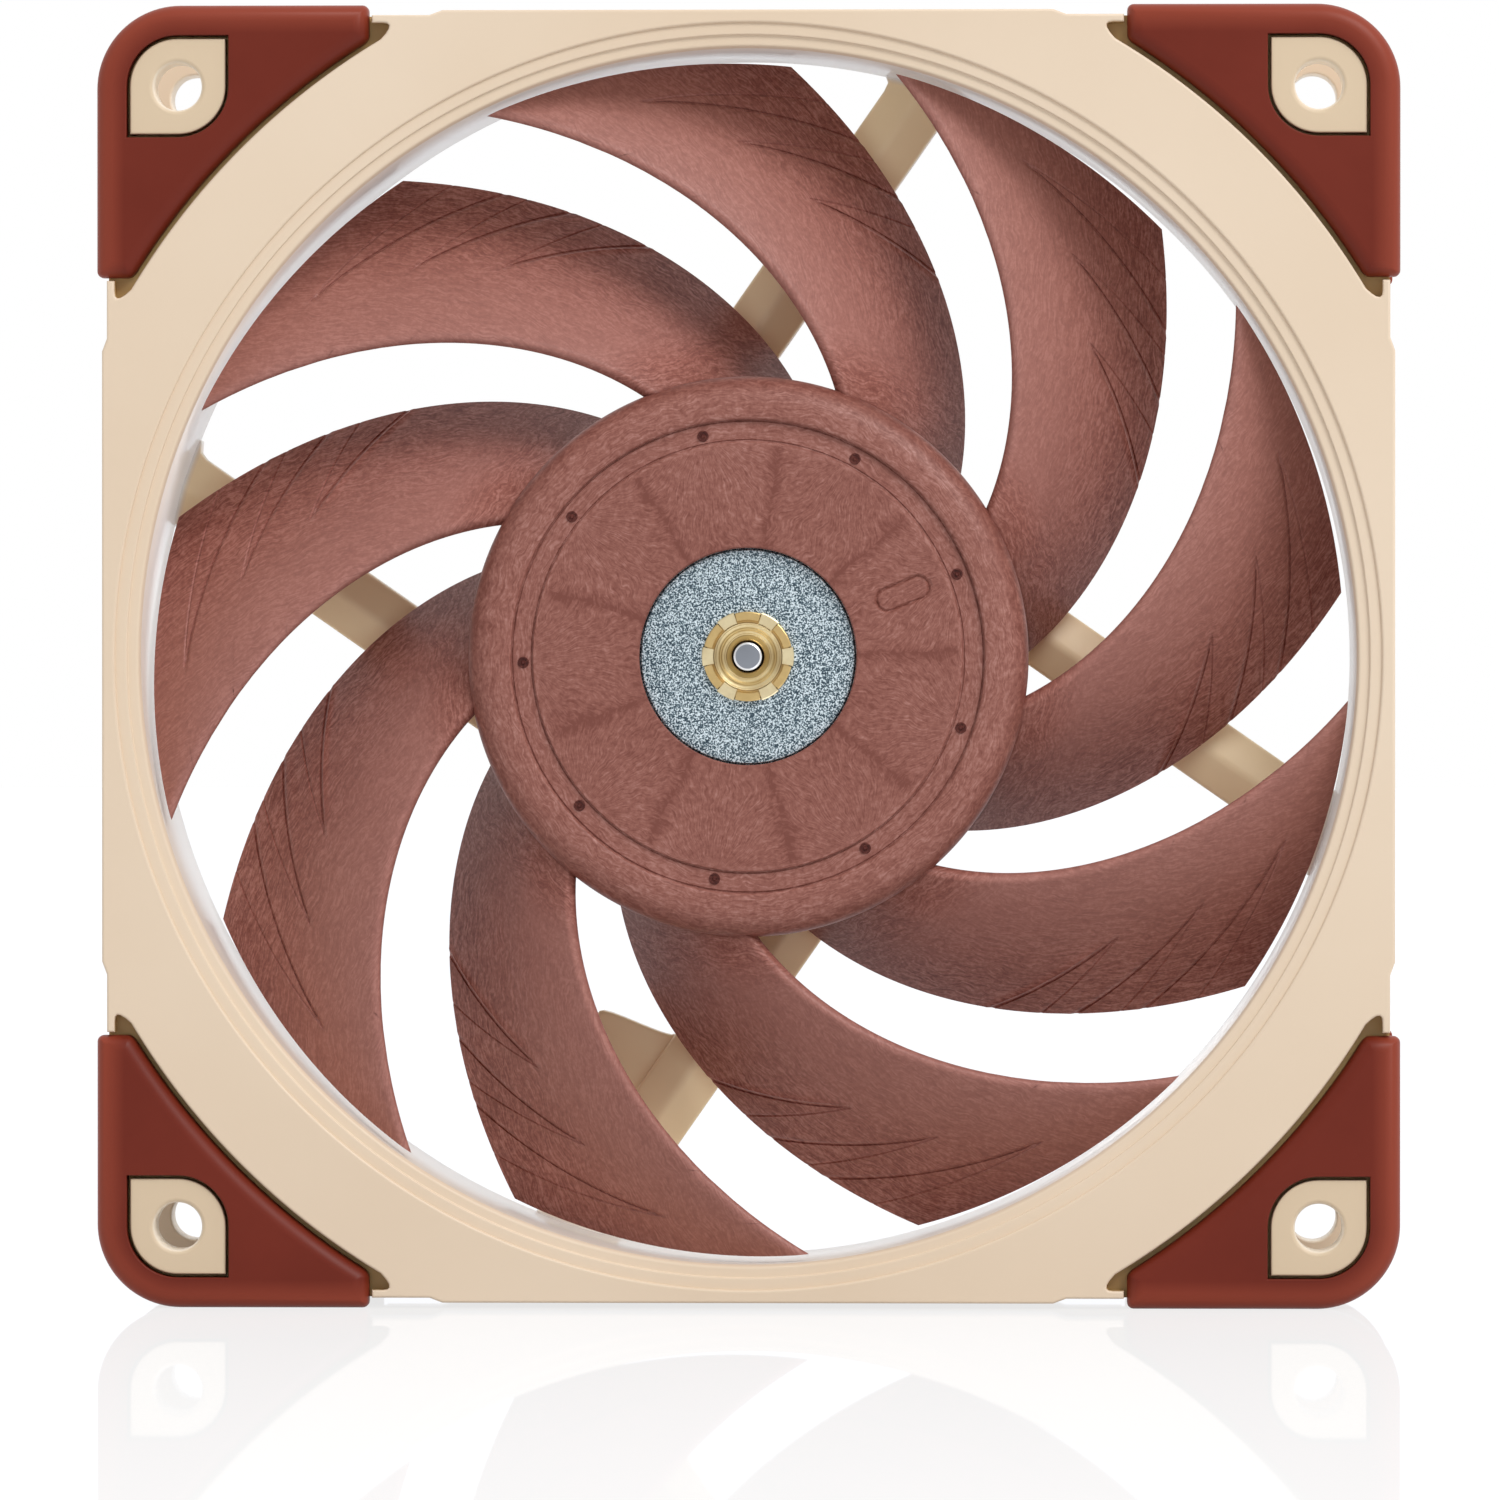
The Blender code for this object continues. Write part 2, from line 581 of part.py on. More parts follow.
def bearing():
    """Tube, oil seal, sintered sleeve, retaining ring, thrust pad and stabilising magnet."""
    inside = TUBE_INNER - GAP
    rings = (("bearing_tube", TUBE_INNER, TUBE_OUTER, 7.6, -8.7, BRASS),
             ("oil_seal", 1.5 * MM, inside, 7.3, 6.7, NYLON),
             ("bearing_sleeve", SLEEVE_BORE, inside, 6.4, -4.9, BRONZE),
             ("retaining_ring", 1.15 * MM, inside, -5.45, -5.75, NYLON))
    for name, inner, outer, front, back, look in rings:
        front *= MM
        back *= MM
        profile = [(inner, front), (outer, front), (outer, back), (inner, back)]
        add_part(turned(name, profile, SMALL_SEGMENTS), name, look)
    thrust_pad = cylinder("thrust_pad", inside, -7.7 * MM, -7.1 * MM, SMALL_SEGMENTS)
    add_part(thrust_pad, "thrust_pad", NYLON)
    magnet = cylinder("stabilising_magnet", inside, -8.7 * MM, -8.0 * MM, SMALL_SEGMENTS)
    add_part(magnet, "stabilising_magnet", MAGNET)


def stator_outline(shoe_outer, half_width):
    """Four teeth with curved shoes, round a ring that fits over the bearing tube."""
    shoe_inner = 17.2 * MM
    ring = 7.5 * MM
    shoe_reach = 38
    tooth_at_shoe = math.degrees(math.asin(half_width / shoe_inner))
    tooth_at_ring = math.degrees(math.asin(half_width / ring))
    pole = arc((0, 0), shoe_inner, -tooth_at_shoe, -shoe_reach, 3)
    pole += arc((0, 0), shoe_outer, -shoe_reach, shoe_reach, 8)
    pole += arc((0, 0), shoe_inner, shoe_reach, tooth_at_shoe, 3)
    pole += arc((0, 0), ring, tooth_at_ring, 90 - tooth_at_ring, 3)
    outline = []
    for k in range(POLES):
        outline += turn_points(pole, 360 / POLES * k)
    hole = arc((0, 0), TUBE_OUTER + GAP, 0, 360, SMALL_SEGMENTS)[:-1]
    return [outline, hole]


def stator():
    """Laminated core, an insulator on each face of it and a winding round each tooth."""
    core = prism("stator_core", stator_outline(STATOR_RADIUS, TOOTH_HALF_WIDTH), STATOR_BACK,
                 STATOR_FRONT)
    add_part(core, "stator_core", LAMINATION)
    front = STATOR_FRONT + GAP
    back = STATOR_BACK - GAP
    plate = stator_outline(STATOR_RADIUS - 0.6 * MM, TOOTH_HALF_WIDTH)
    add_part(prism("insulator_front", plate, front, front + INSULATOR), "insulator_front", NYLON)
    add_part(prism("insulator_rear", plate, back - INSULATOR, back), "insulator_rear", NYLON)
    for k in range(POLES):
        winding(k, back - INSULATOR - GAP, front + INSULATOR + GAP)


def winding(index, low, high):
    """A rounded block of copper wire with the tooth and its insulators passing through it."""
    inner = TOOTH_HALF_WIDTH + GAP
    build = 2.2 * MM
    near = 8.1 * MM
    far = 16.6 * MM
    coil = box("coil", (near, -inner - build, low - build), (far, inner + build, high + build))
    rounding = coil.modifiers.new("Rounded edges", "BEVEL")
    rounding.width = 0.8 * MM
    rounding.segments = 1
    window = box("coil_window", (near - MM, -inner, low), (far + MM, inner, high))
    boolean(coil, window, "DIFFERENCE")
    turn = Matrix.Rotation(2 * math.pi * index / POLES, 4, "Z")
    coil.data.transform(turn)
    window.data.transform(turn)
    return add_part(coil, "coil_" + str(index + 1), COPPER)


def circuit_board():
    """Round board behind the stator, with the parts that stand on it."""
    outline = arc((0, 0), BOARD_RADIUS, 0, 360, RING_SEGMENTS)[:-1]
    hole = arc((0, 0), TUBE_OUTER + 0.4 * MM, 0, 360, SMALL_SEGMENTS)[:-1]
    board = prism("circuit_board", [outline, hole], BOARD_BACK, BOARD_FRONT)
    add_part(board, "circuit_board", BOARD)
    top = BOARD_FRONT + GAP
    under = BOARD_BACK - GAP
    sensor = box("hall_sensor", (11.4 * MM, 11.4 * MM, top), (14.0 * MM, 13.6 * MM, top + MM))
    add_part(sensor, "hall_sensor", CHIP)
    driver = box("driver_chip", (-14 * MM, -2.5 * MM, under - 1.4 * MM), (-9 * MM, 2.5 * MM, under))
    add_part(driver, "driver_chip", CHIP)
    capacitor = box("capacitor", (8 * MM, 3 * MM, under - 1.6 * MM), (11.2 * MM, 5.5 * MM, under))
    add_part(capacitor, "capacitor", NYLON)
    for k in range(POLES):
        angle = math.radians(45 + 90 * k)
        centre = (6.1 * MM * math.cos(angle), 6.1 * MM * math.sin(angle))
        name = "winding_pin_" + str(k + 1)
        pin = cylinder(name, 0.35 * MM, top, STATOR_BACK - INSULATOR - 2 * GAP, 8, centre)
        add_part(pin, name, COPPER)


def rear_label():
    """Plain round sticker in the recess behind the motor."""
    label = cylinder("rear_label", LABEL_RECESS - GAP, -FACE, LABEL_FLOOR - GAP, RING_SEGMENTS)
    return add_part(label, "rear_label", PAPER)


def stand_upright(turning):
    """Hang every piece on an empty that stands the fan up; the turning ones on the shaft's axis."""
    upright = bpy.data.objects.new("fan_upright", None)
    upright.rotation_euler.x = math.pi / 2
    rotor_axis = bpy.data.objects.new("rotor_axis", None)
    rotor_axis.parent = upright
    for empty in (upright, rotor_axis):
        PARTS.objects.link(empty)
    for obj in list(PARTS.objects) + list(CUTTERS.objects):
        if obj.type == "MESH":
            obj.parent = rotor_axis if obj in turning else upright


def build():
    frame()
    corner_pads()
    turning = [impeller(), rotor_cup(), magnet_ring(), shaft_hub(), shaft()]
    bearing()
    stator()
    circuit_board()
    rear_label()
    stand_upright(turning)


build()
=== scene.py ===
import json
import math

import bmesh
import bpy
import numpy as np
from mathutils import Matrix, Vector
from mathutils.geometry import tessellate_polygon


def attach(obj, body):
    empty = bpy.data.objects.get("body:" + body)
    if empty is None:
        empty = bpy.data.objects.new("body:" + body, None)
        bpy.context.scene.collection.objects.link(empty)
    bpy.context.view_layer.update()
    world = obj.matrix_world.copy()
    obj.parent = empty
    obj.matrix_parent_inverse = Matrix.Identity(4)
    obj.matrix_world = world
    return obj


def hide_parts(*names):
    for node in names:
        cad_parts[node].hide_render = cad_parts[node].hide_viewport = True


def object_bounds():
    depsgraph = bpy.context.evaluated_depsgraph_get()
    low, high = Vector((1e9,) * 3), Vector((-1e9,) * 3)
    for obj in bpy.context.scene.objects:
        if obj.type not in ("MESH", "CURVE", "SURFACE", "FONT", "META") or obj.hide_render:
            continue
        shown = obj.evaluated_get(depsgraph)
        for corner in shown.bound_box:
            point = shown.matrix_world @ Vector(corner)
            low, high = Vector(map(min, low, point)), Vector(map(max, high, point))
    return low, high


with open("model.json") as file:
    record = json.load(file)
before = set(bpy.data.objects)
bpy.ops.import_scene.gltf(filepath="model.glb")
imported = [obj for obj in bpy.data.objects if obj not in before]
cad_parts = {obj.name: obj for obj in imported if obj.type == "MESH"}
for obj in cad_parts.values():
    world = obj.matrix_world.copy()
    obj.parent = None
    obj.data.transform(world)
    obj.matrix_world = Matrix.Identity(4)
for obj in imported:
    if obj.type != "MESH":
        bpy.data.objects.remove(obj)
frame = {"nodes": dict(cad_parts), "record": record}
CAD_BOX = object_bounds()

MM = 0.001
# Pieces are modelled with X right, Y up and Z towards the intake, in mm, then stood up.
STAND = Matrix.Rotation(math.pi / 2, 4, "X") @ Matrix.Scale(MM, 4)
OVER = Matrix.Rotation(math.pi, 4, "X")         # turns a front shape into the rear one

# Frame moulding
FACE = 12.1
SEAT = 9.7                  # floor that the rubber pads sit on
FLANGE_BACK = 7.0
FLANGE_HALF = 59.05
FLANGE_HALF_MIDDLE = 59.5
MIDDLE_LENGTH = 28.1
MIDDLE_RAMP = 1.2
FLANGE_CORNER = 6.8
DUCT_OUTER = 58.4
DUCT_INNER = 56.0
STEP_RADII = (58.3, 57.2)
REAR_BORE = 56.7
HOLE_OFFSET = 52.5
SCREW_HOLE = 2.2
BOSS_HALF = 4.4
RECESS_RADIUS = 66.1
RECESS_TIP = 32.9
POCKET_WALL = 58.35

# Rubber pads
PAD_OUTSIDE = 60.0
PAD_FACE = 12.5
PAD_BACK = 10.0
PAD_LEG = 25.1
PAD_CORNER = 7.7
GAP = 0.3                   # round a pad's ends and in its window
PAD_GAP = 0.5               # along its curved side

# Motor base and struts
BASE_RADIUS = 24.5
STRUT_ANGLE = 55.1
STRUT_OFFSET = 17.3
STRUT_HALF_WIDTH = 3.1
STRUT_BACK = -11.9
STRUT_EDGE = -8.8
STRUT_RIDGE = -7.5
CABLE_STRUT = 2
WEB_EDGE = 7.1
WEB_START = 33.3
WEB_END = 35.6
STRUT_ROUND = 0.35
BASE_FLARE = 0.5            # fillets at a strut's two ends
DUCT_FLARE = 1.2
BASE_SUNK = 1.2             # how far a strut's two ends run into what they join
DUCT_SUNK = 1.0

# Impeller
BLADES = 9
ROOT_RADIUS = 24.9
TIP_RADIUS = 55.4
BLADE_FRONT = 9.2
BLADE_BACK = -5.5
HUB_WINDOW = 10.0
GATE_ANGLE = 21.5
GATE_RADIUS = 20.7
HUB_RADIUS = 25.85
CHORD_ANGLE = 28.4          # degrees from a blade's trailing edge to its leading edge
SWEEP_START = 27.0          # the trailing edge's angle is a curve in the radius past this one
SWEEP_SPAN = 29.55
SWEEP = 51.66
SWEEP_BACK = -7.6
# Each blade has shallow wedge-shaped channels, open at its trailing edge: the radius of the inner and
# of the outer side there, and the angle past that edge at which the two sides meet.
CHANNELS = ((39.74, 42.86, 13.9), (45.04, 47.77, 15.4), (49.22, 52.4, 18.8))
CHANNEL_DEPTH = 0.12
CREASE_HALF_WIDTH = 0.21    # of the crease along a channel's inner side
CREASE_DEPTH = 0.2
LIP_HEIGHT = 0.11           # of the fine raised line on the hub side of that crease
LEDGE_HALF_WIDTH = 0.14     # of the finer crease along the outer side
LEDGE_DEPTH = 0.15


# Meshes

def piece(name, verts, faces, smooth=35.0):
    """A mesh object from millimetre points in the fan's own axes, stood up in the row frame."""
    mesh = bpy.data.meshes.new(name)
    mesh.from_pydata([tuple(v) for v in verts], [], [tuple(f) for f in faces])
    work = bmesh.new()
    work.from_mesh(mesh)
    bmesh.ops.dissolve_degenerate(work, dist=0.0002, edges=work.edges)
    bmesh.ops.recalc_face_normals(work, faces=work.faces)
    work.to_mesh(mesh)
    work.free()
    mesh.transform(STAND)
    mesh.shade_smooth()
    mesh.set_sharp_from_angle(angle=math.radians(smooth))
    obj = bpy.data.objects.new(name, mesh)
    bpy.context.scene.collection.objects.link(obj)
    return obj


def merged(shapes):
    """Several (verts, faces) as one."""
    verts, faces = [], []
    for more_verts, more_faces in shapes:
        start = len(verts)
        verts.extend(more_verts)
        faces.extend([[start + i for i in face] for face in more_faces])
    return verts, faces


def moved(shape, matrix):
    verts, faces = shape
    return [tuple(matrix @ Vector(v)) for v in verts], faces


def quarter_turns():
    return [Matrix.Rotation(math.radians(90 * k), 4, "Z") for k in range(4)]


def both_faces():
    """The four front corners, then the four rear ones, which are the front ones turned over."""
    return quarter_turns() + [OVER @ turn for turn in quarter_turns()]


def arc(centre, radius, start, end, steps):
    """Points along a circle from the start angle to the end angle, in degrees."""
    points = []
    for i in range(steps + 1):
        angle = math.radians(start + (end - start) * i / steps)
        points.append((centre[0] + radius * math.cos(angle), centre[1] + radius * math.sin(angle)))
    return points


def bend(start, corner, end, steps=5):
    """A curve from start to end that leaves along the line to the corner and arrives along it."""
    a, b, c = Vector(start), Vector(corner), Vector(end)
    return [tuple(a * (1 - t) ** 2 + b * 2 * t * (1 - t) + c * t * t)
            for t in [i / steps for i in range(steps + 1)]]


def turn_points(points, degrees):
    turn = Matrix.Rotation(math.radians(degrees), 2)
    return [tuple(turn @ Vector(point)) for point in points]


def four_times(quarter):
    outline = []
    for k in range(4):
        outline += turn_points(quarter, 90 * k)
    return outline


def circle(centre, radius, steps=96):
    """A round hole: it runs clockwise, so its material lies on its left."""
    return arc(centre, radius, 360, 0, steps)[:-1]


def inset(points, distance):
    """A closed outline moved to its left by a distance. A corner that is rounded more tightly than
    the distance closes up to one point."""
    points = [Vector(p) for p in points]
    count = len(points)
    edges = [points[(i + 1) % count] - points[i] for i in range(count)]
    result = []
    for i, point in enumerate(points):
        first, second = edges[i - 1].normalized(), edges[i].normalized()
        n1, n2 = Vector((-first.y, first.x)), Vector((-second.y, second.x))
        result.append(point + (n1 + n2) * (distance / max(1 + n1.dot(n2), 0.3)))
    turned = [edges[i].dot(result[(i + 1) % count] - result[i]) < 0 for i in range(count)]
    for i in range(count):
        if turned[i] and not turned[i - 1]:
            end = i
            while turned[end % count]:
                end += 1
            before, after = edges[i - 1], edges[end % count]
            gap = result[end % count] - result[i]
            meeting = result[i] + before * (gap.cross(after) / before.cross(after))
            for k in range(i, end + 1):
                result[k % count] = meeting
    return result


def slab(outlines, low, high, low_round=0.0, steps=4):
    """A plate with rounded front edges. Each outline comes with its own edge radius; the first
    runs anticlockwise and the holes run clockwise."""
    rim = 0.03                  # a flat strip between each face and its edge
    verts, faces, caps = [], [], {1: [], 0: []}
    for points, radius in outlines:
        levels = []
        for face, edge in ((1, radius), (0, low_round)):
            level = [(edge + rim, 0.0)]
            for i in range(steps + 1 if edge > 0 else 1):
                turn = math.pi / 2 * i / steps
                level.append((edge * (1 - math.sin(turn)), edge * (1 - math.cos(turn))))
            level = [(a, high - d if face else low + d) for a, d in level]
            levels += level if face else level[::-1]
        rings = []
        for across, height in levels:
            start = len(verts)
            verts += [(p.x, p.y, height) for p in inset(points, across)]
            rings.append(range(start, len(verts)))
        count = len(points)
        for upper, lower in zip(rings, rings[1:]):
            for i in range(count):
                j = (i + 1) % count
                faces.append((upper[i], upper[j], lower[j], lower[i]))
        caps[1].append(rings[0])
        caps[0].append(rings[-1])
    for loops in caps.values():
        loops = [[i for k, i in enumerate(loop) if verts[i] != verts[loop[k - 1]]] for loop in loops]
        index = [i for loop in loops for i in loop]
        flat = [[Vector(verts[i][:2]).to_3d() for i in loop] for loop in loops]
        faces += [tuple(index[i] for i in triangle) for triangle in tessellate_polygon(flat)]
    return verts, faces


def rounded(points, steps=4):
    """A profile of (radius, height, corner radius) with its corners rounded off."""
    share = 0.48                # the most of a side that one corner may take
    result = []
    for i, (x, y, corner) in enumerate(points):
        here = Vector((x, y))
        if corner <= 0 or i in (0, len(points) - 1):
            result.append(tuple(here))
            continue
        before = Vector(points[i - 1][:2]) - here
        after = Vector(points[i + 1][:2]) - here
        reach = corner / math.tan(before.angle(after) / 2)
        reach = min(reach, before.length * share, after.length * share)
        start, end = here + before.normalized() * reach, here + after.normalized() * reach
        result += bend(start, here, end, steps)
    return result


def lathe(profile, segments, closed=True):
    """Turn a (radius, height) profile about Z. A closed profile makes a ring."""
    verts, faces = [], []
    count = len(profile)
    for k in range(segments):
        angle = 2 * math.pi * k / segments
        c, s = math.cos(angle), math.sin(angle)
        verts += [(r * c, r * s, z) for r, z in profile]
    for k in range(segments):
        a, b = k * count, (k + 1) % segments * count
        for i in range(count if closed else count - 1):
            j = (i + 1) % count
            faces.append((a + i, a + j, b + j, b + i))
    return verts, faces


def disc_lathe(profile, segments):
    """Turn a profile that starts and ends on the axis."""
    verts, faces = lathe(profile[1:-1], segments, closed=False)
    count = len(profile) - 2
    for end, offset in ((profile[0], 0), (profile[-1], count - 1)):
        centre = len(verts)
        verts.append((0, 0, end[1]))
        for k in range(segments):
            faces.append((centre, k * count + offset, (k + 1) % segments * count + offset))
    return verts, faces


def loft(rings):
    """Closed rings of equal length joined up, with flat ends."""
    verts = [v for ring in rings for v in ring]
    count = len(rings[0])
    faces = []
    for k in range(len(rings) - 1):
        for i in range(count):
            j = (i + 1) % count
            faces.append((k * count + i, k * count + j, (k + 1) * count + j, (k + 1) * count + i))
    faces.append(tuple(range(count)))
    faces.append(tuple(range((len(rings) - 1) * count, len(rings) * count)))
    return verts, faces


# Frame

def flange_outline():
    """The square flange, with rounded corners and sides that stand out a little in the middle."""
    corner = FLANGE_HALF - FLANGE_CORNER
    ramp = (FLANGE_HALF, MIDDLE_LENGTH + MIDDLE_RAMP)
    quarter = [(FLANGE_HALF_MIDDLE, MIDDLE_LENGTH), ramp]
    quarter += arc((corner, corner), FLANGE_CORNER, 0, 90, 16)
    return four_times(quarter + [ramp[::-1], (MIDDLE_LENGTH, FLANGE_HALF_MIDDLE)])


def face_outline():
    """The raised face: the flange less the four seats and the pockets past the pads' ends."""
    shoulder = PAD_OUTSIDE - PAD_LEG - GAP
    reach = math.degrees(math.acos((RECESS_TIP + 0.9) / RECESS_RADIUS))
    seat = arc((0, 0), RECESS_RADIUS, 90 - reach, reach, 30)
    tip = RECESS_TIP - 0.4
    pocket = [(POCKET_WALL, shoulder)]
    pocket += bend((POCKET_WALL, tip + 1.1), (POCKET_WALL, tip - 0.2), seat[0])
    side = [(FLANGE_HALF_MIDDLE, MIDDLE_LENGTH), (FLANGE_HALF, MIDDLE_LENGTH + MIDDLE_RAMP),
            (FLANGE_HALF, shoulder)]
    half = side + pocket
    return four_times(half + seat[1:-1] + [point[::-1] for point in half[::-1]])


def leaf_outline(half, clockwise=False):
    """A square round the screw hole, rounded on the corners that lie on the fan's diagonal."""
    centre = (HOLE_OFFSET, HOLE_OFFSET)
    outline = arc(centre, half, 0, 90, 16) + [(HOLE_OFFSET - half, HOLE_OFFSET + half)]
    outline += arc(centre, half, 180, 270, 16) + [(HOLE_OFFSET + half, HOLE_OFFSET - half)]
    return outline[::-1] if clockwise else outline


def strut_axes(index):
    """The strut's own axes: across it, and along it away from the motor base."""
    angle = math.radians(STRUT_ANGLE + 90 * index)
    along = Vector((math.cos(angle), math.sin(angle), 0))
    return Vector((-math.sin(angle), math.cos(angle), 0)), along


def flared(distance, flare):
    """How far a fillet of this radius widens a strut at a distance from its end."""
    depth = flare - min(max(distance, 0.0), flare)
    return flare - math.sqrt(max(flare ** 2 - depth ** 2, 0.0))


def strut_section(row):
    """The strut's section through two points, (across, along), of its sides."""
    sides = []
    for (position, place), inward in zip(row, (1, -1)):
        inner = position + inward * STRUT_ROUND
        slope = (STRUT_RIDGE - STRUT_EDGE) / abs(STRUT_OFFSET - position)
        side = bend((inner, place, STRUT_EDGE + slope * STRUT_ROUND), (position, place, STRUT_EDGE),
                    (position, place, STRUT_EDGE - STRUT_ROUND), 4)
        side += bend((position, place, STRUT_BACK + STRUT_ROUND), (position, place, STRUT_BACK),
                     (inner, place, STRUT_BACK), 4)
        sides.append(side)
    middle = (row[0][1] + row[1][1]) / 2
    ridge = [(STRUT_OFFSET + shift, middle, STRUT_RIDGE - drop)
             for shift, drop in ((-0.5, 0.21), (0, 0.06), (0.5, 0.21))]
    return sides[0][::-1] + ridge + sides[1]


def strut(index):
    """One slanted strut with a ridge along its front and fillets at its ends."""
    across, along = strut_axes(index)
    sides = []
    for sign in (-1, 1):
        offset = STRUT_OFFSET + sign * STRUT_HALF_WIDTH
        sides.append((sign, offset, math.sqrt(BASE_RADIUS ** 2 - offset ** 2),
                      math.sqrt(DUCT_INNER ** 2 - offset ** 2)))
    # shares of the length, closer together along the fillets
    near = [0.0, 0.012, 0.025, 0.04, 0.06, 0.08, 0.1, 0.13]
    rings = []
    for t in near + [0.16 + 0.02 * i for i in range(35)] + [1 - t for t in near[::-1]]:
        row = []
        for sign, offset, start, end in sides:
            place = start - BASE_SUNK + (end - start + BASE_SUNK + DUCT_SUNK) * t
            widen = flared(place - start, BASE_FLARE) + flared(end - place, DUCT_FLARE)
            row.append((offset + sign * widen, place))
        rings.append([tuple(across * x + along * y + Vector((0, 0, z))) for x, y, z in strut_section(row)])
    return loft(rings)


def cable_web():
    """The flat web beside one strut. It starts abruptly part of the way out, and narrows back to the
    strut before the duct's wall."""
    across, along = strut_axes(CABLE_STRUT)
    side = STRUT_OFFSET - STRUT_HALF_WIDTH
    root = STRUT_OFFSET - 0.8
    end = math.sqrt(DUCT_INNER ** 2 - side ** 2)
    outline = [(root, end), (root, WEB_START), (side, WEB_START)]
    for i in range(1, 9):
        step = i / 8
        smooth = step * step * (3 - 2 * step)
        outline.append((side + (WEB_EDGE - side) * smooth, WEB_START + (WEB_END - WEB_START) * step))
    outline += [(WEB_EDGE, WEB_END + 1.5), (side + 0.2, end - DUCT_FLARE), (side + 0.2, end)]
    flat = [(across.x * x + along.x * y, across.y * x + along.y * y) for x, y in outline]
    return slab([(flat, 0.3)], STRUT_BACK + 0.02, STRUT_EDGE - 0.7, 0.3)


def frame_moulding():
    sharp, soft = 0.02, 0.22    # edge radii
    hole = circle((HOLE_OFFSET, HOLE_OFFSET), SCREW_HOLE, 48)
    holes = [(turn_points(hole, 90 * k), sharp) for k in range(4)]
    flange = slab([(flange_outline(), sharp), (circle((0, 0), DUCT_OUTER - 0.4, 180), sharp)] + holes,
                  FLANGE_BACK, SEAT, 0.2)
    front = slab([(face_outline(), soft), (circle((0, 0), STEP_RADII[0], 240), 0.25)], SEAT - 0.02, FACE)
    rear = slab([(face_outline(), soft), (circle((0, 0), REAR_BORE, 240), 0.4)], SEAT - 0.02, FACE)
    boss = slab([(leaf_outline(BOSS_HALF), 0.18), (hole, 0.42)], SEAT - 0.02, FACE)
    shapes = [flange, moved(flange, OVER), front, moved(rear, OVER)]
    shapes += [moved(boss, place) for place in both_faces()]
    duct = rounded([(DUCT_OUTER, 11.2, 0), (DUCT_OUTER, 11.75, 0), (STEP_RADII[1], 11.75, 0.25),
                    (STEP_RADII[1], 11.4, 0.1), (DUCT_INNER + 0.2, 11.4, 0.35), (DUCT_INNER, 10.8, 0.3),
                    (DUCT_INNER, 0, 0), (DUCT_INNER, -10.6, 1.0), (REAR_BORE, -11.7, 0),
                    (DUCT_OUTER, -11.7, 0)])
    shapes.append(lathe(duct, 288))
    cavity, bottom, wall_top, back = 23.0, -9.0, -6.9, -12.1
    seat_radius, seat = 18.5, -11.4         # the label's seat
    base = rounded([(0, bottom, 0), (4.7, bottom, 0), (4.7, wall_top, 0.2), (6.2, wall_top, 0.2),
                    (6.2, bottom, 0), (cavity, bottom, 0), (cavity, wall_top, 0.2),
                    (BASE_RADIUS, wall_top, 0.4), (BASE_RADIUS, back, 0.5), (seat_radius, back, 0.2),
                    (seat_radius, seat, 0), (0, seat, 0)])
    shapes.append(disc_lathe(base, 144))
    shapes += [strut(i) for i in range(4)] + [cable_web()]
    return piece("frame_moulding", *merged(shapes))


# Pads

def pad_outline():
    start = PAD_OUTSIDE - PAD_LEG
    inner = RECESS_RADIUS + PAD_GAP
    reach = 90 - math.degrees(math.acos(start / inner))
    corner = PAD_OUTSIDE - PAD_CORNER
    inside = arc((0, 0), inner, 90 - reach, reach, 40)
    tip = arc((PAD_OUTSIDE - 0.6, start + 0.6), 0.6, -90, 0, 5)
    heel = bend(inside[-2], inside[-1], (inside[-1][0] + 0.5, start), 4)
    outline = heel + tip + arc((corner, corner), PAD_CORNER, 0, 90, 24)
    outline += [point[::-1] for point in (heel + tip)[::-1]]
    return outline + inside[2:-2]


def pads():
    window = leaf_outline(BOSS_HALF + GAP, clockwise=True)
    shape = slab([(pad_outline(), 1.45), (window, 0.12)], PAD_BACK, PAD_FACE, 0.1, steps=7)
    corners = ("top_right", "top_left", "bottom_left", "bottom_right")
    names = ["front_pad_" + c for c in corners]
    names += ["rear_pad_" + c for c in corners[::-1]]
    made = []
    for name, place in zip(names, both_faces()):
        pad = piece(name + "_rubber", *moved(shape, place))
        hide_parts(name)
        made.append(pad)
    return made


# Impeller

def trailing_angle(radius):
    """Where the trailing edge lies round the hub at this radius, in degrees."""
    span = (radius - SWEEP_START) / SWEEP_SPAN
    return 3.8 + SWEEP * span + SWEEP_BACK * span ** 2


def chord_angle(radius):
    """The blade's width round the hub in degrees: least in the middle of its length."""
    return CHORD_ANGLE + 1.1 * ((radius - 42.0) / 14.5) ** 2


def channel_path(v):
    """How fast a spanwise grid line climbs outwards with the angle, and how far round it climbs, so
    that it follows a channel's sharp edge or its outer side."""
    climb, stop = [(ROOT_RADIUS, 0.0)], [(ROOT_RADIUS, CHANNELS[0][2])]
    for r0, r1, reach in CHANNELS:
        steep = (r1 - r0) / reach
        climb += [(r0 - CREASE_HALF_WIDTH, steep), (r0 + CREASE_HALF_WIDTH, steep),
                  (r1 - LEDGE_HALF_WIDTH, 0.0), (r1 + LEDGE_HALF_WIDTH, 0.0)]
        stop += [(r, reach * 0.9) for r in (r0 - CREASE_HALF_WIDTH, r0 + CREASE_HALF_WIDTH, r1)]
    climb.append((TIP_RADIUS, 0.0))
    return [float(np.interp(v, [k[0] for k in knots], [k[1] for k in knots])) for knots in (climb, stop)]


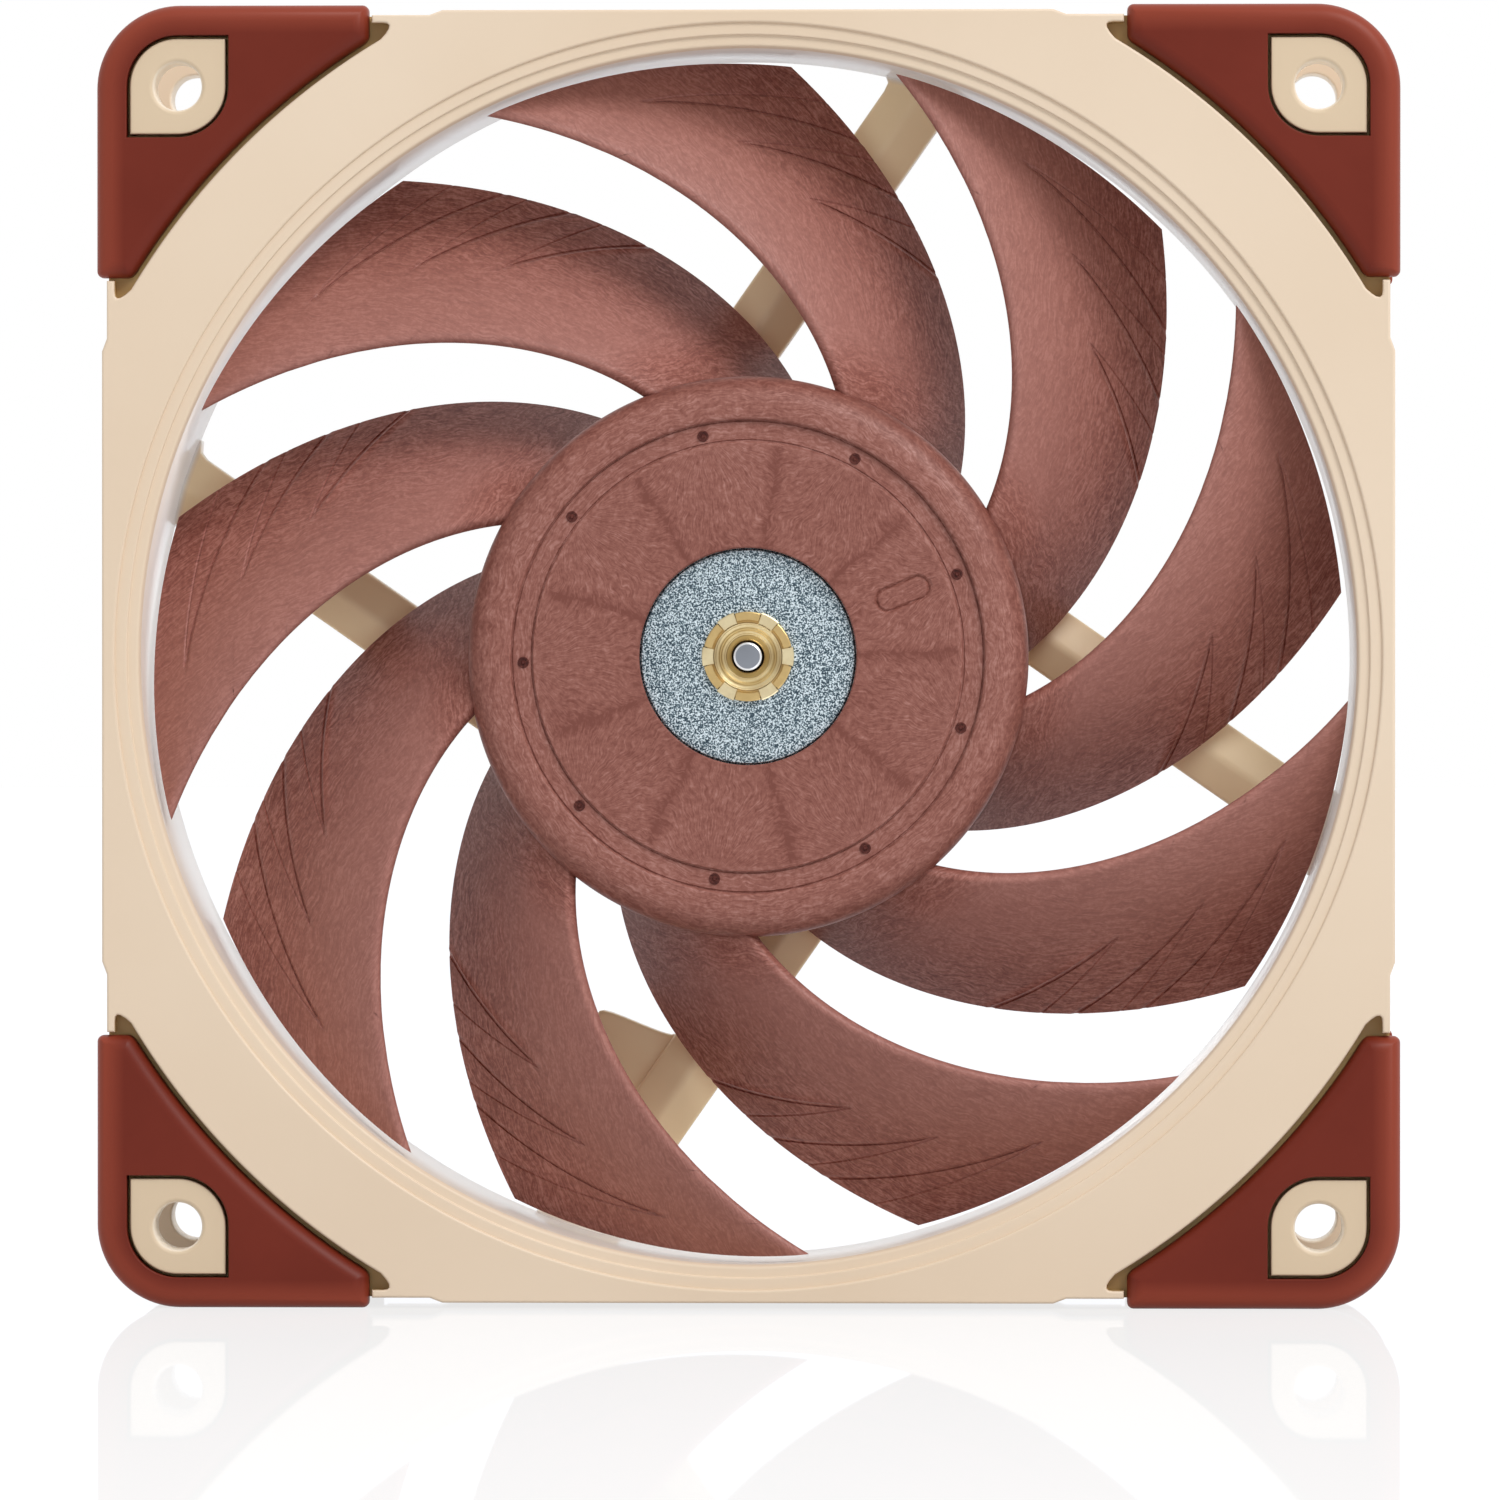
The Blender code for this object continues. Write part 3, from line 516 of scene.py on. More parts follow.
def span_lines():
    """Spanwise grid lines at the trailing edge, doubled at each channel's two sides."""
    lines = list(np.linspace(ROOT_RADIUS, TIP_RADIUS, 50))
    for r0, r1, _ in CHANNELS:
        lines = [v for v in lines if abs(v - r0) > 0.5 and abs(v - r1) > 0.35]
        lines += [r0 + CREASE_HALF_WIDTH * k for k in (-1.6, -1, -0.4, 0, 0.4, 1, 1.6)]
        ledge = (-LEDGE_HALF_WIDTH - 0.1, -LEDGE_HALF_WIDTH, 0, LEDGE_HALF_WIDTH, LEDGE_HALF_WIDTH + 0.1)
        lines += [r1 + shift for shift in ledge]
    return sorted(lines)


def chord_places():
    """Places across the chord, 0 at the trailing edge and 1 at the leading one, dense at both."""
    edge = [0.0, 0.004, 0.012]
    middle = list(np.linspace(0.03, 0.86, 44))
    nose = [1 - 0.14 * (1 - math.sin(math.pi / 2 * i / 12)) for i in range(13)]
    return edge + middle + nose


def half_thickness(place, span):
    """Half the blade's thickness in mm: round at the leading edge and thin at the trailing one."""
    nose = 1 - place
    full = 0.98 - 0.24 * span
    lead = 0.045
    if nose < lead:
        return full * math.sqrt(max(1 - (1 - nose / lead) ** 2, 0.0))
    swell = 1 + 0.18 * math.sin(math.pi * min((nose - lead) / 0.5, 1.0))
    return full * swell * (1 - 0.62 * (nose - lead) / (1 - lead))


def channel_depth(radius, angle):
    """Depth of the channels, each with a crease along its two sides and a lip beside the inner one."""
    depth = 0.0
    for r0, r1, reach in CHANNELS:
        if angle >= reach:
            continue
        inner = r0 + (r1 - r0) * angle / reach
        fade = min((1 - angle / reach) * 20, 1.0)
        ends = fade * min(0.45 + angle / 2, 1.0)
        crease = max(1 - abs(radius - inner) / CREASE_HALF_WIDTH, 0.0)
        lip = max(1 - abs(radius - inner + 1.6 * CREASE_HALF_WIDTH) / (0.6 * CREASE_HALF_WIDTH), 0.0)
        ledge = max(1 - abs(radius - r1) / LEDGE_HALF_WIDTH, 0.0)
        depth += ends * (CREASE_DEPTH * min(crease * 1.6, 1.0) - LIP_HEIGHT * lip + LEDGE_DEPTH * ledge)
        if inner < radius < r1:
            depth += CHANNEL_DEPTH * fade * min(angle / 2, 1.0) * (r1 - radius) / (r1 - inner)
    return depth


def blade():
    fronts, rears = [], []
    places = chord_places()
    for v in span_lines():
        climb, stop = channel_path(v)
        front_row, rear_row = [], []
        for place in places:
            shift = CHORD_ANGLE * place
            radius = min(v + climb * min(shift, stop), TIP_RADIUS)
            span = (radius - ROOT_RADIUS) / (TIP_RADIUS - ROOT_RADIUS)
            camber = 0.11 - 0.04 * span
            chord = math.radians(chord_angle(radius))
            depth = BLADE_FRONT - BLADE_BACK
            run, rise = radius * chord, depth * (1 + 4 * camber * (1 - 2 * place))
            length = math.hypot(run, rise)
            angle = math.radians(trailing_angle(radius)) + chord * place
            height = BLADE_BACK + depth * (place + 4 * camber * place * (1 - place))
            half = half_thickness(place, span)
            for row, side in ((front_row, half - channel_depth(radius, shift)), (rear_row, -half)):
                swing = angle - side * rise / length / radius
                row.append((radius * math.cos(swing), radius * math.sin(swing),
                            height + side * run / length))
        fronts.append(front_row)
        rears.append(rear_row)
    rings = [front + rear[-2::-1] for front, rear in zip(fronts, rears)]
    verts, faces = loft(rings)
    faces = faces[:-2]
    count = len(rings[0])
    # the tip and the root are closed by strips between the two sides
    for ring in (0, len(rings) - 1):
        for i in range(len(places) - 1):
            a, b = ring * count + i, ring * count + i + 1
            c, d = ring * count + (count - i) % count, ring * count + count - i - 1
            faces.append((a, b, d, c) if a != c else (a, b, d))
    faces = [tuple(dict.fromkeys(f)) for f in faces]
    return verts, [f for f in faces if len(f) > 2]


def hub():
    """The hub cup, its face rings cut fine enough for the oval dimple and the crease round it."""
    top = 11.4
    profile = [(HUB_WINDOW, 10.0), (HUB_WINDOW, 11.25), (HUB_WINDOW + 0.12, top)]
    profile += [(10.4 + 0.6 * i, top) for i in range(4)] + [(12.7 + 0.1 * i, top) for i in range(54)]
    profile += [(18.3, top), (18.9, top), (19.55, top)]
    # the groove round the plate, the flat with the gates, and the step up to the rim
    profile += [(19.74, 11.36), (19.82, 11.27), (19.86, 10.98), (19.94, 10.95), (20.02, 11.05),
                (GATE_RADIUS, 11.05), (21.62, 11.05), (21.7, 10.95), (21.78, 10.95), (21.82, 11.4),
                (21.9, 11.53), (22.05, 11.61), (22.4, 11.64), (22.9, 11.6)]
    for i in range(1, 15):
        turn = math.pi / 2 * i / 14
        profile.append((22.9 + (HUB_RADIUS - 22.9) * math.sin(turn), 11.6 - 2.6 * (1 - math.cos(turn))))
    profile += [(HUB_RADIUS, 0.0), (HUB_RADIUS, -5.9), (25.6, -6.2), (24.3, -6.2), (24.1, -6.0),
                (24.1, 9.2), (23.4, 9.9), (10.0, 9.9)]
    verts, faces = lathe(profile, 720)
    points = np.array(verts)
    # the oval: its direction from the shaft, its middle, half its straight sides and its end radius
    axis, centre, straight, end = math.radians(22.0), 15.4, 1.5, 1.05
    crease = 0.2                # half its width
    radial = points[:, 0] * math.cos(axis) + points[:, 1] * math.sin(axis) - centre
    side = -points[:, 0] * math.sin(axis) + points[:, 1] * math.cos(axis)
    distance = np.hypot(np.maximum(np.abs(radial) - straight, 0), side) - end
    dip = 0.1 * np.clip(0.5 - distance / crease, 0, 1)
    dip += 0.3 * np.clip(1 - np.abs(distance) / crease, 0, 1)
    on_face = points[:, 2] > 11.2
    points[on_face, 2] -= dip[on_face]
    return [tuple(p) for p in points], faces


def gate_mark(index):
    """A small round gate scar: a shallow ring with a raised pip."""
    profile = [(0, 11.2), (0.12, 11.2), (0.2, 11.12), (0.22, 11.06), (0.36, 11.06), (0.4, 11.18),
               (0.48, 11.18), (0.54, 11.0), (0, 11.0)]
    angle = math.radians(GATE_ANGLE + 360 / BLADES * index)
    place = Matrix.Translation((GATE_RADIUS * math.cos(angle), GATE_RADIUS * math.sin(angle), 0))
    return moved(disc_lathe(profile, 28), place)


def impeller_moulding():
    shapes = [hub()]
    one = blade()
    shapes += [moved(one, Matrix.Rotation(2 * math.pi * k / BLADES, 4, "Z")) for k in range(BLADES)]
    return piece("impeller_moulding", *merged(shapes), smooth=32)


def gate_marks():
    return piece("gate_marks", *merged([gate_mark(k) for k in range(BLADES)]))


# Cup, boss, shaft and label

def cup():
    hole, window, outer, inner = 4.08, 9.86, 23.7, 22.9
    profile = rounded([(hole, 10.4, 0), (window, 10.4, 0.1), (window, 9.6, 0.1), (outer, 9.6, 0.7),
                       (outer, -5.9, 0.1), (inner, -5.9, 0.1), (inner, 8.8, 0.5), (9.06, 8.8, 0.1),
                       (9.06, 9.6, 0.1), (hole, 9.6, 0)])
    return piece("steel_cup", *lathe(profile, 180))


def raised_block(centre, half_angle, inner, outer, top):
    """A block of a ring: it spans half_angle degrees either side of its centre."""
    section = [(inner, top - 0.06), (inner + 0.06, top), (outer - 0.12, top), (outer - 0.03, top - 0.05),
               (outer, top - 0.15), (outer, 10.43), (3.9, 10.43), (3.9, 10.1), (inner, 10.1)]
    rings = []
    for i in range(13):
        turn = math.radians(centre + half_angle * (i / 6 - 1))
        rings.append([(r * math.cos(turn), r * math.sin(turn), z) for r, z in section])
    return loft(rings)


def brass_boss():
    """Turned boss with a stepped bore. Six lugs and six higher blocks take turns round its rim."""
    profile = rounded([(1.5, 8.3, 0), (1.5, 10.2, 0.05), (1.64, 10.3, 0.05), (1.95, 10.32, 0.05),
                       (2.0, 10.44, 0.04), (2.12, 10.46, 0.04), (2.16, 10.36, 0.04), (2.4, 10.4, 0.04),
                       (2.45, 10.58, 0.05), (2.62, 10.6, 0.05), (2.68, 10.5, 0.04), (2.9, 10.55, 0.05),
                       (3.04, 10.72, 0.05), (3.12, 10.72, 0.05), (3.16, 10.5, 0.04), (3.86, 10.5, 0.1),
                       (3.92, 10.3, 0.1), (4.0, 9.3, 0), (5.8, 9.3, 0), (5.8, 8.3, 0)], 2)
    shapes = [lathe(profile, 120)]
    shapes += [raised_block(60 * k, 12.0, 3.18, 4.26, 10.84) for k in range(6)]
    shapes += [raised_block(60 * k + 30, 16.8, 3.36, 4.14, 11.1) for k in range(6)]
    return piece("brass_boss", *merged(shapes), smooth=28)


def shaft_pin():
    radius, groove = 1.3, 1.0
    profile = rounded([(0, 11.3, 0), (1.12, 11.3, 0.02), (radius, 11.18, 0.02), (radius, -5.2, 0),
                       (groove, -5.2, 0), (groove, -6.0, 0), (radius, -6.0, 0), (radius, -6.3, 0.1),
                       (0.8, -6.7, 0.2), (0, -6.8, 0)], 2)
    return piece("shaft_pin", *disc_lathe(profile, 96))


def label():
    profile = rounded([(0, -12.1, 0), (18.1, -12.1, 0.08), (18.1, -11.75, 0), (0, -11.75, 0)])
    return piece("plain_label", *disc_lathe(profile, 160))


# Materials

class Nodes:
    """Short names for building a material's nodes. Its place is the point in the row frame."""

    def __init__(self, name):
        self.material = bpy.data.materials.new(name)
        self.material.use_nodes = True
        self.tree = self.material.node_tree
        self.shader = self.tree.nodes["Principled BSDF"]
        self.place = self.add("TexCoord").outputs["Object"]

    def add(self, kind, **values):
        node = self.tree.nodes.new("ShaderNode" + kind)
        for key, value in values.items():
            setattr(node, key, value)
        return node

    def link(self, source, target):
        self.tree.links.new(source, target)

    def maths(self, operation, *values):
        node = self.add("Math", operation=operation)
        for socket, value in zip(node.inputs, values):
            if isinstance(value, (int, float)):
                socket.default_value = value
            else:
                self.link(value, socket)
        return node.outputs[0]

    def product(self, first, *others):
        for other in others:
            first = self.maths("MULTIPLY", first, other)
        return first

    def length(self, first, second):
        """The length of a vector with these two parts."""
        square = self.maths("MULTIPLY_ADD", first, first, self.maths("MULTIPLY", second, second))
        return self.maths("SQRT", square)

    def split(self, vector):
        node = self.add("SeparateXYZ")
        self.link(vector, node.inputs[0])
        return [node.outputs[axis] for axis in "XYZ"]

    def millimetres(self):
        return [self.maths("MULTIPLY", part, 1000.0) for part in self.split(self.place)]

    def polar(self):
        """Radius in mm and angle in radians about the shaft's axis."""
        across, _, up = self.millimetres()
        return self.length(across, up), self.maths("ARCTAN2", up, across)

    def noise(self, vector, scale, detail=2.0, rough=0.5, distortion=0.0):
        node = self.add("TexNoise")
        for key, value in (("Scale", scale), ("Detail", detail), ("Roughness", rough),
                           ("Distortion", distortion)):
            node.inputs[key].default_value = value
        self.link(vector, node.inputs["Vector"])
        return node

    def grain(self, scale, detail=2.0, rough=0.5):
        """Noise by the place in the row frame: the scale is in features per metre."""
        return self.noise(self.place, scale, detail, rough).outputs["Fac"]

    def vector(self, *values):
        node = self.add("CombineXYZ")
        for socket, value in zip(node.inputs, values):
            self.link(value, socket)
        return node.outputs[0]

    def ramp(self, value, *stops):
        node = self.add("ValToRGB")
        elements = node.color_ramp.elements
        while len(elements) < len(stops):
            elements.new(0.5)
        for element, (place, colour) in zip(elements, stops):
            element.position = place
            element.color = (*linear(colour), 1.0)
        self.link(value, node.inputs[0])
        return node.outputs[0]

    def range(self, value, low, high, to_low, to_high):
        node = self.add("MapRange")
        for key, number in (("From Min", low), ("From Max", high), ("To Min", to_low), ("To Max", to_high)):
            node.inputs[key].default_value = number
        self.link(value, node.inputs["Value"])
        return node.outputs[0]

    def rise(self, value, low, high):
        """0 up to the low value and 1 from the high one."""
        return self.range(value, low, high, 0.0, 1.0)

    def fall(self, value, low, high):
        return self.range(value, low, high, 1.0, 0.0)

    def mix(self, factor, first, second, blend="MIX"):
        node = self.add("Mix", data_type="RGBA", blend_type=blend)
        for socket, value in ((node.inputs[0], factor), (node.inputs[6], first), (node.inputs[7], second)):
            if isinstance(value, tuple):
                socket.default_value = (*linear(value), 1.0)
            else:
                self.link(value, socket)
        return node.outputs[2]

    def blend(self, factor, first, second):
        """One shader fading into another."""
        node = self.add("MixShader")
        for socket, source in zip(node.inputs, (factor, first, second)):
            self.link(source, socket)
        return node.outputs[0]

    def bump(self, height, strength, distance):
        node = self.add("Bump")
        node.inputs["Strength"].default_value = strength
        node.inputs["Distance"].default_value = distance
        self.link(height, node.inputs["Height"])
        return node.outputs[0]

    def finish(self, colour, roughness, normal, **fixed):
        """Join up the shader, set what is the same all over, and return the material."""
        self.link(colour, self.shader.inputs["Base Color"])
        self.link(normal, self.shader.inputs["Normal"])
        if roughness is not None:
            self.link(roughness, self.shader.inputs["Roughness"])
        for key, value in fixed.items():
            self.shader.inputs[key.replace("_", " ")].default_value = value
        return self.material


def linear(colour):
    """An sRGB colour of 0 to 255 as linear light."""
    return tuple(c / 255 / 12.92 if c <= 10.31 else ((c / 255 + 0.055) / 1.055) ** 2.4 for c in colour)


def hub_flow(n, radius, angle, wander):
    """Streaks that fan out from the nearest gate, and the dark weld lines midway between gates."""
    pitch = math.pi / BLADES
    turn = n.maths("WRAP", n.maths("SUBTRACT", angle, math.radians(GATE_ANGLE)), pitch, -pitch)
    side = n.product(radius, n.maths("SINE", turn))
    inward = n.maths("SUBTRACT", 21.5, n.product(radius, n.maths("COSINE", turn)))
    spread = n.maths("MULTIPLY_ADD", wander[0], 0.5, n.maths("ARCTAN2", side, inward))
    fan = n.vector(n.product(spread, 44.0), n.product(n.length(side, inward), 0.75))
    streaks = n.noise(fan, 1.0, 3.0, 0.6, 0.5).outputs["Fac"]
    shifted = n.maths("MULTIPLY_ADD", wander[1], 0.16, turn)
    weld = n.rise(n.maths("ABSOLUTE", shifted), 0.76 * pitch, pitch)
    return streaks, n.product(weld, weld)


def blade_flow(n, radius, angle, wander):
    """Wandering streaks that run out along the swept blades, and across them near the hub; and the
    place across the blade, 0 at its trailing edge and 1 at its leading edge."""
    span = n.maths("DIVIDE", n.maths("SUBTRACT", radius, SWEEP_START), SWEEP_SPAN)
    curve = n.maths("MULTIPLY_ADD", span, math.radians(SWEEP_BACK), math.radians(SWEEP))
    turn = n.maths("SUBTRACT", angle, n.product(span, curve))
    turn = n.maths("WRAP", turn, 2 * math.pi / BLADES, 0.0)
    across = n.maths("MULTIPLY_ADD", turn, radius, n.product(wander[0], 3.2))
    along = n.maths("MULTIPLY_ADD", wander[1], 3.2, radius)
    fibres = []
    for fine, coarse in ((4.8, 0.65), (0.65, 4.8)):
        stretched = n.vector(n.product(across, fine), n.product(along, coarse))
        fibres.append(n.noise(stretched, 1.0, 3.0, 0.6, 0.5).outputs["Fac"])
    near = n.fall(n.maths("MULTIPLY_ADD", wander[2], 6.0, radius), 29.0, 34.0)
    return n.mix(near, *fibres), n.maths("DIVIDE", turn, math.radians(CHORD_ANGLE))


def fibre_plastic(name, base, dark, light, roughness):
    """Fibre-filled plastic: fine paler streaks that follow the way the melt flowed, a painted sheen towards
    the blades' leading edges, and a painted shade on the hub's rim.
    """
    n = Nodes(name)
    radius, angle = n.polar()
    wander = [n.maths("SUBTRACT", part, 0.5)
              for part in n.split(n.noise(n.place, 190.0, 3.0, 0.6).outputs["Color"])]
    hub_streaks, weld = hub_flow(n, radius, angle, wander)
    blade_streaks, across = blade_flow(n, radius, angle, wander)
    plate = n.fall(radius, 19.2, 19.6)
    blades = n.rise(radius, 25.2, 28.0)
    fibres = n.mix(plate, blade_streaks, hub_streaks)
    speck = n.grain(2400.0, 2.0, 0.6)
    usual = 0.705               # the tone where every noise is at its middle
    tone = n.maths("MULTIPLY_ADD", speck, 0.45, 0.03 - usual)
    tone = n.maths("MULTIPLY_ADD", fibres, 0.7, tone)
    tone = n.maths("MULTIPLY_ADD", n.grain(110.0, 5.0, 0.65), 0.2, tone)
    # the hub is plainer than the blades; its plate is darker near the window and at the weld lines
    tone = n.maths("MULTIPLY_ADD", tone, n.range(blades, 0.0, 1.0, 0.65, 1.0), usual)
    inner = n.range(radius, 9.5, 14.0, 0.055, 0.03)
    tone = n.maths("SUBTRACT", tone, n.product(plate, n.maths("MULTIPLY_ADD", weld, 0.11, inner)))
    # painted shade: the hub's rounded rim is darkened towards its outer edge
    rim = n.product(n.range(radius, 24.3, 25.8, 0.0, 0.12), n.fall(radius, 25.87, 26.1))
    tone = n.maths("SUBTRACT", tone, rim)
    colour = n.ramp(tone, (0.56, dark), (usual, base), (0.84, light))
    # the blades get a painted sheen, paler towards their leading edges, and are redder than the hub
    painted_sheen = n.product(n.range(across, 0.25, 0.8, 0.0, 0.5), n.rise(radius, 26.5, 31.0))
    colour = n.mix(blades, n.mix(painted_sheen, colour, (176, 134, 126)), (250, 234, 230), "MULTIPLY")
    return n.finish(colour, n.range(tone, 0.6, 0.8, roughness + 0.04, roughness - 0.04),
                    n.bump(n.maths("MULTIPLY_ADD", speck, 0.4, fibres), 0.45, 0.00006),
                    Specular_IOR_Level=0.3)


def smooth_plastic(name, base, dark, roughness, bumps=0.12):
    """Moulded plastic with a faint colour drift and a fine satin grain."""
    n = Nodes(name)
    fine = n.grain(1800.0)
    return n.finish(n.ramp(n.grain(22.0, 3.0), (0.3, dark), (0.65, base)),
                    n.range(fine, 0.3, 0.7, roughness - 0.05, roughness + 0.05),
                    n.bump(fine, bumps, 0.00004))


def frame_plastic():
    """Beige moulding: satin outside, with a polish from its core in the duct. The duct wall also gets a
    painted white reflection, each strut a paler and warmer painted light, the seats a darker and warmer
    painted shade, the boss faces a darker painted shade and the screw bores a paler painted light.
    """
    n = Nodes("beige_moulding")
    radius, _ = n.polar()
    x, y, z = n.millimetres()
    depth = n.maths("ABSOLUTE", y)
    wide, tall = n.maths("ABSOLUTE", x), n.maths("ABSOLUTE", z)
    hole = n.length(n.maths("SUBTRACT", wide, HOLE_OFFSET), n.maths("SUBTRACT", tall, HOLE_OFFSET))
    wall = n.product(n.rise(radius, 55.4, 55.9), n.fall(radius, 56.0, 56.35))
    polish = n.rise(y, -8.0, 2.0)
    # the duct wall's polish also carries a painted near-white reflection in its colour
    polish_and_painted_reflection = n.product(wall, polish)
    top = n.rise(depth, 11.2, 11.8)
    # painted shade: the seats and pockets under the pads are tinted darker and warmer than the face
    seat = n.product(n.rise(depth, 9.0, 9.4), n.maths("SUBTRACT", 1.0, top), n.rise(hole, 2.4, 2.7),
                     n.rise(radius, 62.0, 63.0), n.rise(n.maths("MINIMUM", wide, tall), 30.5, 31.2))
    # painted shade: the boss faces round the screw holes are darker than the face
    boss_painted_shade = n.product(n.fall(hole, 6.6, 6.9), top)
    # painted light: the screw bores are tinted paler and less golden
    bore = n.fall(hole, 2.2, 2.4)
    # painted light: each strut, shaded by the blades, is tinted paler and warmer
    strut_painted_light = n.product(n.rise(y, 0.0, 6.0), n.fall(y, 10.2, 11.2), n.fall(radius, 55.4, 55.9))
    colour = n.ramp(n.grain(22.0, 3.0), (0.3, (226, 204, 178)), (0.65, (232, 212, 188)))
    for where, tint in ((seat, (206, 172, 112)), (boss_painted_shade, (218, 196, 166)), (polish_and_painted_reflection, (250, 246, 238)),
                        (bore, (246, 236, 220)), (strut_painted_light, (255, 232, 190))):
        colour = n.mix(where, colour, tint)
    matt = n.product(wall, n.maths("SUBTRACT", 1.0, polish))
    n.link(polish_and_painted_reflection, n.shader.inputs["Coat Weight"])
    n.link(n.range(matt, 0.0, 1.0, 0.5, 0.05), n.shader.inputs["Specular IOR Level"])
    n.link(n.maths("MAXIMUM", wall, strut_painted_light), n.shader.inputs["Sheen Weight"])
    fine = n.grain(1800.0)
    return n.finish(colour, n.range(fine, 0.3, 0.7, 0.37, 0.47), n.bump(fine, 0.12, 0.00004),
                    Coat_Roughness=0.1, Sheen_Roughness=0.35)


def speckled_steel():
    """Zinc-plated sheet: a fine sparkle of light and dark grains."""
    n = Nodes("plated_steel")
    grain = n.grain(6800.0, 1.0, 0.6)
    colour = n.ramp(grain, (0.4, (34, 54, 68)), (0.5, (128, 148, 157)), (0.6, (232, 244, 250)))
    colour = n.mix(n.product(n.grain(160.0), 0.2), colour, (120, 140, 150))
    return n.finish(colour, n.range(grain, 0.3, 0.7, 0.6, 0.4), n.bump(grain, 0.5, 0.00006), Metallic=0.6)


def turned_metal(name, base, dark, roughness, face=None):
    """Metal with the fine rings a lathe leaves round the shaft's axis. A face is a radius in mm and
    the colour that fills the end out to it."""
    n = Nodes(name)
    radius, _ = n.polar()
    rings = n.add("TexNoise", noise_dimensions="1D")
    rings.inputs["Scale"].default_value = 9.0
    n.link(radius, rings.inputs["W"])
    spots = n.grain(900.0, 3.0, 0.6)
    colour = n.mix(spots, dark, base)
    if face:
        colour = n.mix(n.fall(radius, face[0], face[0] + 0.05), colour, face[1])
    return n.finish(colour, n.range(spots, 0.3, 0.7, roughness - 0.06, roughness + 0.1),
                    n.bump(rings.outputs["Fac"], 0.15, 0.00003), Metallic=1.0)


def turned_brass():
    """Turned brass with painted reflections: its tone changes from one ring to the next, the six lugs get a
    painted highlight, and the sides left and right are painted darker in a bow-tie.
    """
    n = Nodes("turned_brass")
    radius, angle = n.polar()
    spots = n.grain(700.0, 3.0, 0.6)
    # painted reflections and shade, ring by ring
    rings = n.ramp(n.rise(radius, 1.5, 3.5), (0.0, (176, 144, 86)), (0.2, (190, 160, 100)),
                   (0.32, (244, 226, 178)), (0.5, (210, 182, 124)), (0.72, (240, 224, 180)),
                   (0.92, (216, 186, 128)))
    # painted highlight on the six lugs
    painted_lug_highlight = n.product(n.rise(n.maths("COSINE", n.product(angle, 6.0)), 0.3, 0.36),
                    n.rise(radius, 3.14, 3.18))
    # painted bow-tie reflection: darker to the left and right of the shaft
    painted_bow_tie_reflection = n.product(n.range(n.maths("COSINE", n.product(angle, 2.0)), 0.2, 1.0, 0.0, 0.45),
                    n.fall(radius, 3.3, 3.4))
    colour = n.mix(painted_lug_highlight, n.mix(painted_bow_tie_reflection, rings, (128, 96, 52)), (238, 222, 180))
    colour = n.mix(n.range(spots, 0.35, 0.65, 0.0, 0.25), colour, (150, 120, 72))
    return n.finish(colour, n.range(spots, 0.3, 0.7, 0.28, 0.42), n.bump(spots, 0.2, 0.00003),
                    Metallic=1.0)


def rubber(name, base, dark, edge, roughness):
    """Moulded silicone rubber: satin, with a faint bloom, and paler along the outside with a painted
    highlight.
    """
    n = Nodes(name)
    bloom = n.grain(70.0, 4.0, 0.6)
    x, _, z = n.millimetres()
    corner = PAD_OUTSIDE - PAD_CORNER
    beyond = [n.maths("MAXIMUM", n.maths("SUBTRACT", n.maths("ABSOLUTE", side), corner), 0.0)
              for side in (x, z)]
    # painted highlight along the pads' rounded outer edges, in the edge colour
    rim = n.range(n.length(*beyond), PAD_CORNER - 2.6, PAD_CORNER - 0.8, 0.0, 0.85)
    return n.finish(n.mix(rim, n.ramp(bloom, (0.3, dark), (0.7, base)), edge),
                    n.range(bloom, 0.3, 0.7, roughness - 0.05, roughness + 0.05),
                    n.bump(n.grain(2600.0), 0.1, 0.00003), Specular_IOR_Level=0.2)


def wound_copper():
    """Enamelled wire, laid side by side."""
    n = Nodes("enamelled_wire")
    wire = n.add("TexWave", wave_type="BANDS", bands_direction="Y")
    wire.inputs["Scale"].default_value = 900.0
    wire.inputs["Distortion"].default_value = 0.4
    n.link(n.place, wire.inputs["Vector"])
    groove = wire.outputs["Fac"]
    return n.finish(n.ramp(groove, (0.1, (120, 62, 30)), (0.7, (205, 128, 78))), None,
                    n.bump(groove, 0.6, 0.0001), Roughness=0.3, Metallic=0.9)


def floor_material():
    """Pale glossy floor: evenly lit where it is looked at, with a faint mirror image near the fan."""
    n = Nodes("pale_floor")
    haze = n.noise(n.place, 2.0, 2.0, 0.5).outputs["Fac"]
    n.link(n.ramp(haze, (0.3, (200, 200, 201)), (0.7, (204, 204, 204))), n.shader.inputs["Base Color"])
    n.shader.inputs["Roughness"].default_value = 0.6
    n.shader.inputs["Specular IOR Level"].default_value = 0.0
    glow = n.add("Emission")
    glow.inputs["Strength"].default_value = 0.98
    matt = n.add("BsdfDiffuse")
    matt.inputs["Color"].default_value = (0.1, 0.1, 0.1, 1.0)
    lit = n.add("AddShader")
    n.link(matt.outputs[0], lit.inputs[0])
    n.link(glow.outputs[0], lit.inputs[1])
    gloss = n.add("BsdfGlossy")
    gloss.inputs["Color"].default_value = (0.8, 0.84, 0.97, 1.0)
    gloss.inputs["Roughness"].default_value = 0.02
    shine = n.range(n.split(n.place)[1], -0.24, -0.012, 0.15, 0.22)
    path = n.add("LightPath")
    looked_at = n.maths("MAXIMUM", path.outputs["Is Camera Ray"], path.outputs["Is Glossy Ray"])
    seen = n.blend(shine, lit.outputs[0], gloss.outputs[0])
    surface = n.blend(looked_at, n.shader.outputs[0], seen)
    n.link(surface, n.tree.nodes["Material Output"].inputs["Surface"])
    return n.material


